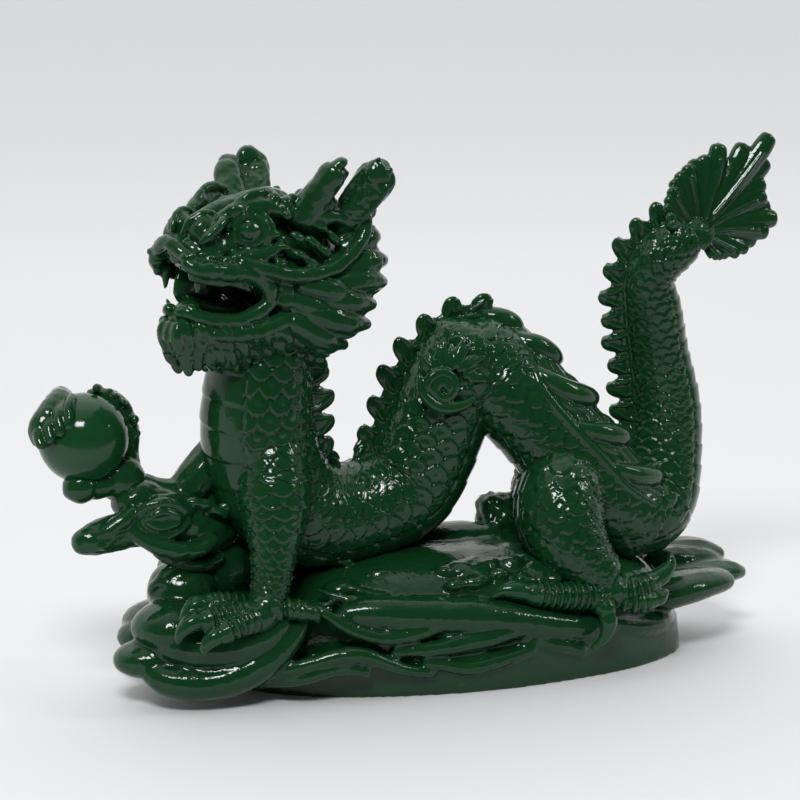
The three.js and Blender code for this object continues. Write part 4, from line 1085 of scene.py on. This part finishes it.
def head_side(clay, side_sign):
    def at(*numbers):
        x, y, z, *rest = numbers
        return (x, side_sign * y, z, *rest)

    # Nostril: a round wing with a pit in front and a flared rim behind.
    clay.ball(at(-19.2, 3.0, 7.6), (2.7, 2.5, 2.6))
    clay.roll([at(-21.6, 4.6, 5.4, 0.5), at(-20, 5.8, 7.0, 0.8), at(-17.4, 5.8, 8.8, 0.9), at(-15, 4.6, 9.8, 0.7)],
              steps=18, sides=10)
    clay.roll([at(-22.6, 1.2, 6.8, 0.5), at(-21.4, 2.2, 9.4, 0.6), at(-19, 3.2, 10.6, 0.6), at(-16.6, 3.2, 10.2, 0.5)],
              steps=16, sides=10)
    # Upper lip, with small lumps along it, down to the corner of the mouth.
    clay.roll([at(-24.2, 3.4, 3.0, 1.2), at(-22.6, 5.6, 1.6, 1.5), at(-18, 6.8, 0.8, 1.6), at(-13, 7.8, 0.0, 1.6),
               at(-9.8, 8.4, -2.2, 1.5), at(-8.4, 8.2, -5, 1.4)], steps=30)
    for k in range(8):
        clay.ball(at(-24.6 + 1.5 * k, 4.6 + 0.42 * k, 3.6 - 0.12 * k + 0.3 * math.sin(2.2 * k)), (0.8, 0.7, 0.7), detail=2)
    clay.roll([at(-24, 4.6, 0.4, 0.7), at(-20, 5.8, -0.8, 0.8), at(-15, 6.6, -1.6, 0.7), at(-12, 7, -3, 0.5)],
              steps=20, sides=8)
    # Lower lip, and the folded corner of the mouth.
    clay.roll([at(-23.6, 0.6, -6.0, 1.1), at(-22.4, 2.8, -6.4, 1.2), at(-18.6, 5, -7.6, 1.2), at(-13.6, 6.4, -7.8, 1.3),
               at(-9.6, 7.6, -6, 1.4), at(-8, 8.2, -3.4, 1.2)], steps=26)
    clay.roll([at(-20, 4.6, -10.2, 1.2), at(-14, 6.2, -10.4, 1.6), at(-8, 7.6, -9.4, 1.9), at(-2, 8.4, -7, 1.8)],
              steps=22)
    clay.roll([at(-7.4, 7.6, 0.4, 1.6), at(-6, 8.8, -3, 1.8), at(-6.4, 8.4, -6.6, 1.6)], steps=16)
    # Teeth: a fang behind the lip, and a row of small ones.
    clay.roll([at(-21.4, 4.4, 1.4, 1.0), at(-21.6, 4.5, -0.8, 0.8), at(-21.9, 4.5, -3.0, 0.25)], steps=14, sides=10)
    for k in range(5):
        clay.roll([at(-18.6 + 1.9 * k, 5.8 + 0.28 * k, 0, 0.7), at(-18.8 + 1.9 * k, 5.8 + 0.28 * k, -1.9, 0.25)],
                  steps=8, sides=8)
    clay.roll([at(-21.6, 3.4, -7, 0.7), at(-22.2, 3.6, -4.4, 0.25)], steps=10, sides=8)
    # Cheek and cheekbone.
    clay.ball(at(-4, 5.6, -1.6), (6.6, 4.2, 5.4))
    clay.ball(at(-1, 5.8, -5.4), (6, 3.8, 4.2))
    clay.roll([at(-16, 5.6, 3.4, 1.0), at(-12.6, 7.4, 3.0, 1.4), at(-9, 8.6, 3.6, 1.3), at(-6.6, 8.8, 5.8, 0.9)],
              steps=18, sides=10)
    # Eye: a ball in ringed lids under a knotted brow.
    eye = Vector(at(-12.4, 7.0, 7.4))
    clay.ball(eye, (2.1, 2.0, 2.1))
    outward = Vector(at(-0.55, 0.8, 0.1)).normalized()
    level = outward.cross(Vector((0, 0, 1))).normalized()
    for reach, thick_lid, push in ((2.5, 0.62, 0.55), (3.5, 0.55, -0.1)):
        lid = []
        for k in range(13):
            angle = math.radians(30 * k)
            lid.append(tuple(eye + outward * push + level * (1.12 * reach * math.cos(angle))
                             + Vector((0, 0, 0.92 * reach * math.sin(angle)))) + (thick_lid,))
        clay.roll(lid, across=outward, steps=44, sides=8)
    clay.roll([at(-17.4, 3.4, 8.8, 0.8), at(-14.6, 5.4, 10.8, 1.3), at(-11, 6.8, 11.4, 1.5), at(-7.4, 7.8, 10.8, 1.5),
               at(-4, 8.6, 9.2, 1.1)], steps=24)
    clay.ball(at(-7.6, 4.0, 9.6), (5.0, 3.0, 2.8))
    for k in range(4):
        clay.roll([at(-14.6 + 1.6 * k, 8.0, 9.4 + 0.1 * k, 0.3), at(-13.8 + 1.6 * k, 7.6, 10.8, 0.5),
                   at(-12.8 + 1.6 * k, 6.8, 12.2, 0.3)], steps=12, sides=8)
    clay.roll([at(-15.6, 4.6, 10.2, 0.6), at(-12.6, 6.0, 12.8, 0.9), at(-9.2, 6.6, 13.6, 0.9), at(-6, 6.8, 12.8, 0.6)],
              steps=18, sides=10)
    for x, y, z, r in ((-7.6, 7.8, 12.6, 1.1), (-5.4, 8.2, 11.8, 1.2), (-3.4, 7.4, 12.2, 1.0), (-6.2, 9.4, 9.6, 0.9)):
        clay.ball(at(x, y, z), (r, r, r), detail=2)
    # The smooth ridge that sweeps from the lip back under the cheek and up to the ear.
    clay.roll([at(-15.4, 7.4, 2.4, 0.8), at(-12.6, 8.6, 1.4, 1.2), at(-9, 10, 0.2, 1.35), at(-5, 11, -0.7, 1.4),
               at(-0.8, 11.8, -0.5, 1.4), at(3.2, 12.3, 0.8, 1.4), at(6.6, 12.6, 3.2, 1.35), at(8.6, 12.6, 6, 1.25),
               at(9.2, 12.2, 9.4, 1.1), at(8.2, 11.4, 12, 0.8)], steps=60)
    # Knots of cheek fur above the ridge.
    for x, y, z, r, tilt in ((-8.8, 9.2, 6.6, 1.0, 0), (-6.8, 9.8, 4.2, 0.9, 20), (-4.4, 10.0, 5.8, 1.1, 30),
                             (-4.2, 10.4, 2.8, 1.1, 20), (-1.4, 10.4, 4.6, 1.2, 40), (-2.2, 10.9, 1.4, 1.0, 20),
                             (0.8, 11, 2.8, 1.2, 40), (3.0, 11, 5.0, 1.2, 50), (0.6, 10, 7.2, 1.2, 30),
                             (-7.6, 9.6, 1.8, 0.9, 10)):
        clay.ball(at(x, y, z), (1.6 * r, r, 0.75 * r), turn=(0, tilt, 0), detail=2)
    clay.roll([at(-4, 8.4, 8.2, 1.0), at(0, 9.6, 9.0, 1.4), at(4, 10.6, 8.6, 1.2), at(6.6, 11, 7, 0.8)], steps=18)


def horn_and_ear(clay, side_sign):
    back = 0 if side_sign < 0 else 1

    def at(x, y, z, *rest):
        return (x + 1.2 - 3.6 * back, side_sign * y, z - 0.1 * (z - 6) * back, *rest)

    clay.roll([at(-3.2, 5.8, 6.6, 4.4), at(-1.7, 8.2, 10.4, 3.0), at(-0.5, 10.4, 13.6, 2.6), at(0.4, 12.2, 16.2, 2.4),
               at(1.4, 13, 17.6, 2.1)], steps=26, sides=16)
    clay.roll([at(1.6, 9.6, 12.2, 0.8), at(2.4, 11.6, 15, 1.0), at(2.9, 12.8, 17.2, 1.1)], steps=14, sides=10)
    clay.ball(at(1.2, 12.8, 18.0), (2.0, 1.9, 1.1), turn=(20 * side_sign, -18, 0))
    for k in range(5):
        clay.roll([at(-6.0 + 1.2 * k, 7.4 + 0.3 * k, 7.8 - 0.2 * k, 0.5), at(-4.2 + 1.2 * k, 9.2 + 0.2 * k, 11 - 0.4 * k, 0.8),
                   at(-2.2 + k, 11 + 0.2 * k, 13.6 - 0.4 * k, 0.4)], steps=14, sides=8)
    # The ear is a long cupped blade with a smooth rim round a pebbled hollow.
    facing = Vector((-0.66, -0.75, 0.2)).normalized()
    blade = [at(4.4, 7.6, 5.5), at(6.4, 10.6, 9.6), at(8, 13.2, 13.2), at(9, 15, 16), at(9.6, 16.2, 18.2)]
    blade = [(x - 0.8 - 1.8 * back, y - 1.6 * back, z + 1.7 * back - 0.4) for x, y, z in blade]
    axis = (Vector(blade[-1]) - Vector(blade[0])).normalized()
    flat_way = axis.cross(facing).normalized()
    wides = (2.3, 2.9, 3.4, 3.4, 2.7)
    thicks = (1.6, 1.8, 1.8, 1.6, 1.3)
    clay.roll([(*b, w, t) for b, w, t in zip(blade, wides, thicks)], across=flat_way, steps=30, sides=20)
    clay.ball(Vector(blade[-1]) - axis * 1.9, (2.8, 1.9, 2.6))
    for edge in (-1, 1):
        rim = [(*(Vector(b) + flat_way * edge * inward * w + facing * 0.8 * t), 0.5)
               for b, w, t, inward in zip(blade[1:4], wides[1:4], thicks[1:4], (0.84, 0.84, 0.74))]
        clay.roll(rim, across=flat_way, steps=22, sides=8)
    chance = np.random.default_rng(11)
    for k in range(110):
        part = chance.uniform(0.22, 1.0)
        row = np.array([part])
        centre = Vector(through(blade, row)[0])
        wide = np.interp(part, (0, 0.25, 0.5, 0.75, 1), wides)
        thin_now = np.interp(part, (0, 0.25, 0.5, 0.75, 1), thicks)
        beside = chance.uniform(-0.62, 0.62)
        point = centre + flat_way * beside * wide + facing * thin_now * math.sqrt(1 - beside**2) * 1.02
        size = chance.uniform(0.38, 0.6)
        clay.ball(point, (size, size, size), detail=1)


head = head_core()
head.ball((-17, 1.2, -2.4), (5.6, 1.3, 4.6))
for side_sign in (-1, 1):
    head_side(head, side_sign)
    horn_and_ear(head, side_sign)
head_piece = head.fuse("dragon_head", 0.3, 2)
press(head_piece, lambda points: 0.2 * rough(points, 2.4, 17) + 0.1 * rough(points, 1.0, 18))
hand_over(
    head_piece, "dragon_resin", dragon_resin, "head_skull", "snout", "nose", "lower_jaw", "tongue", "fang_left",
    "fang_right", "eye_left", "eye_right", "brow_left", "brow_right", "whisker_left", "whisker_right",
    "horn_left", "horn_right", "ear_left", "ear_right",
)

# ---------------------------------------------------------------- mane and beard: locks of carved hair
# Flame-shaped locks stream back from the jaw and the nape, and a shaggy beard of short locks hangs
# under the chin. Each lock is a bundle of strands that run together into one point.
def lock(clay, root, bend, tip, wide, strands, strand=0.55, spread=(0, 0, 1)):
    """Strands that leave the root side by side along "spread", belly out, and meet at the tip."""
    root, bend, tip, spread = (Vector(v) for v in (root, bend, tip, spread))
    spread.normalize()
    clay.roll([(*root, 0.5 * wide), (*bend, 0.55 * wide), (*tip, 0.8)], steps=16, sides=10)
    for k in range(strands):
        beside = (k / max(strands - 1, 1) - 0.5) * wide
        bulge = Vector((0, math.copysign(0.28 * wide, tip.y if tip.y else 1), 0)) * (1 - (2 * beside / wide) ** 2)
        first = root + spread * beside + bulge
        middle_point = bend + spread * 1.1 * beside + 1.2 * bulge
        near_tip = bend.lerp(tip, 0.6) + spread * 0.5 * beside + 0.6 * bulge
        clay.roll([(*first, strand), (*middle_point, 1.2 * strand), (*near_tip, strand), (*tip, 0.6 * strand)],
                  steps=16, sides=8)


def mane_side(clay, side_sign):
    def at(x, y, z):
        return (x, side_sign * y, z)

    squeeze = 0.94
    locks = [
        (at(4, 9.8, 2.4), at(10, 11.4, 4.4), at(14.6, 10.4, 4.6), 3.6),
        (at(3, 10, -0.4), at(10, 12, 0.6), at(15.6, 11.4, 0.2), 4.2),
        (at(1, 10, -2.6), at(8.6, 12.4, -2.6), at(15.2, 12, -3.6), 4.4),
        (at(-2, 9.6, -4.6), at(6, 12, -6), at(13, 11.4, -7.6), 4.4),
        (at(-4, 9.2, -6.2), at(4, 11.6, -9.4), at(11.8, 11.4, -10.8), 4.4),
        (at(-6, 8.4, -7.6), at(0.6, 9.8, -12), at(8, 9.4, -14.4), 4.2),
        (at(-5, 9.8, -2), at(1, 12, -3.6), at(7.6, 13, -5.4), 3.0),
        (at(-6.4, 9.2, -4.4), at(-0.6, 11, -7), at(5, 12, -9.6), 3.0),
        (at(8, 8, 6.4), at(12, 9, 9), at(15, 8.6, 8.4), 3.0),
    ]
    for root, bend, tip, wide in locks:
        lock(clay, root, bend, (squeeze * tip[0], tip[1], tip[2]), wide, 5, strand=0.66)


mane = Clay(head_place)
mane.ball((7, 0, -2.6), (6.6, 8.2, 9.2))
mane.ball((2, 0, -8), (7, 7.4, 5.4))
for side_sign in (-1, 1):
    mane_side(mane, side_sign)
for x, z, tip_x, tip_z2 in ((8, 6, 15.6, 8), (10, 2, 18.6, 2.6), (9, -3, 18, -3.6), (8, -8, 16, -9.4),
                            (6, -11, 12.6, -14.4)):
    lock(mane, (x, 0, z), (0.5 * (x + tip_x), 0, z + 1), (tip_x, 0, tip_z2), 5, 6, spread=(0, 1, 0.1))
mane_piece = mane.fuse("mane_locks", 0.27, 2)
press(mane_piece, lambda points: 0.16 * rough(points, 1.7, 19))
hand_over(mane_piece, "dragon_resin", dragon_resin, "mane_left", "mane_right", "mane_back")


def beard():
    clay = Clay(head_place)
    clay.roll([(-22.5, 0, -10, 2.6, 2.4), (-17, 0, -11.2, 4.8, 3.2), (-10, 0, -12, 6.6, 3.6), (-3, 0, -11.6, 8.2, 4.2),
               (3, 0, -10, 9, 4.6)], steps=26, sides=24)
    chance = np.random.default_rng(21)
    for row in range(4):
        for k in range(13):
            x = -23.5 + 2.15 * k + 0.9 * (row % 2) + chance.uniform(-0.4, 0.4)
            half = float(np.interp(x, (-24, -17, -9, 3), (2.4, 5.4, 7.6, 9.6)))
            for side_sign in (-1, 1):
                y = side_sign * half * (1 - 0.17 * row)
                z = -8.2 - 1.7 * row - 0.05 * (x + 24)
                sweep = 1.0 + 0.09 * (x + 24) + chance.uniform(-0.4, 0.4)
                drop = chance.uniform(3.0, 4.4)
                clay.roll([(x - 0.6, 0.9 * y, z + 1.2, 0.9), (x + 0.2 * sweep, 1.06 * y, z - 0.3 * drop, 1.25),
                           (x + 0.7 * sweep, 1.04 * y, z - 0.75 * drop, 0.95), (x + sweep, 0.98 * y, z - drop, 0.45)],
                          steps=12, sides=8)
    for k in range(9):
        x = -24.6 + 0.6 * (k % 3)
        y = -2.4 + 0.6 * k
        clay.roll([(x + 1, y, -7.4, 1.0), (x - 0.2, y, -9.6, 1.3), (x + 0.2, y, -12.0, 1.0),
                   (x + 0.8, y, -13.6 - 0.5 * (k % 3), 0.5)], steps=12, sides=8)
    piece = clay.fuse("beard_locks", 0.27, 2)
    press(piece, lambda points: 0.14 * rough(points, 1.5, 23))
    hand_over(piece, "dragon_resin", dragon_resin, "beard")


beard()
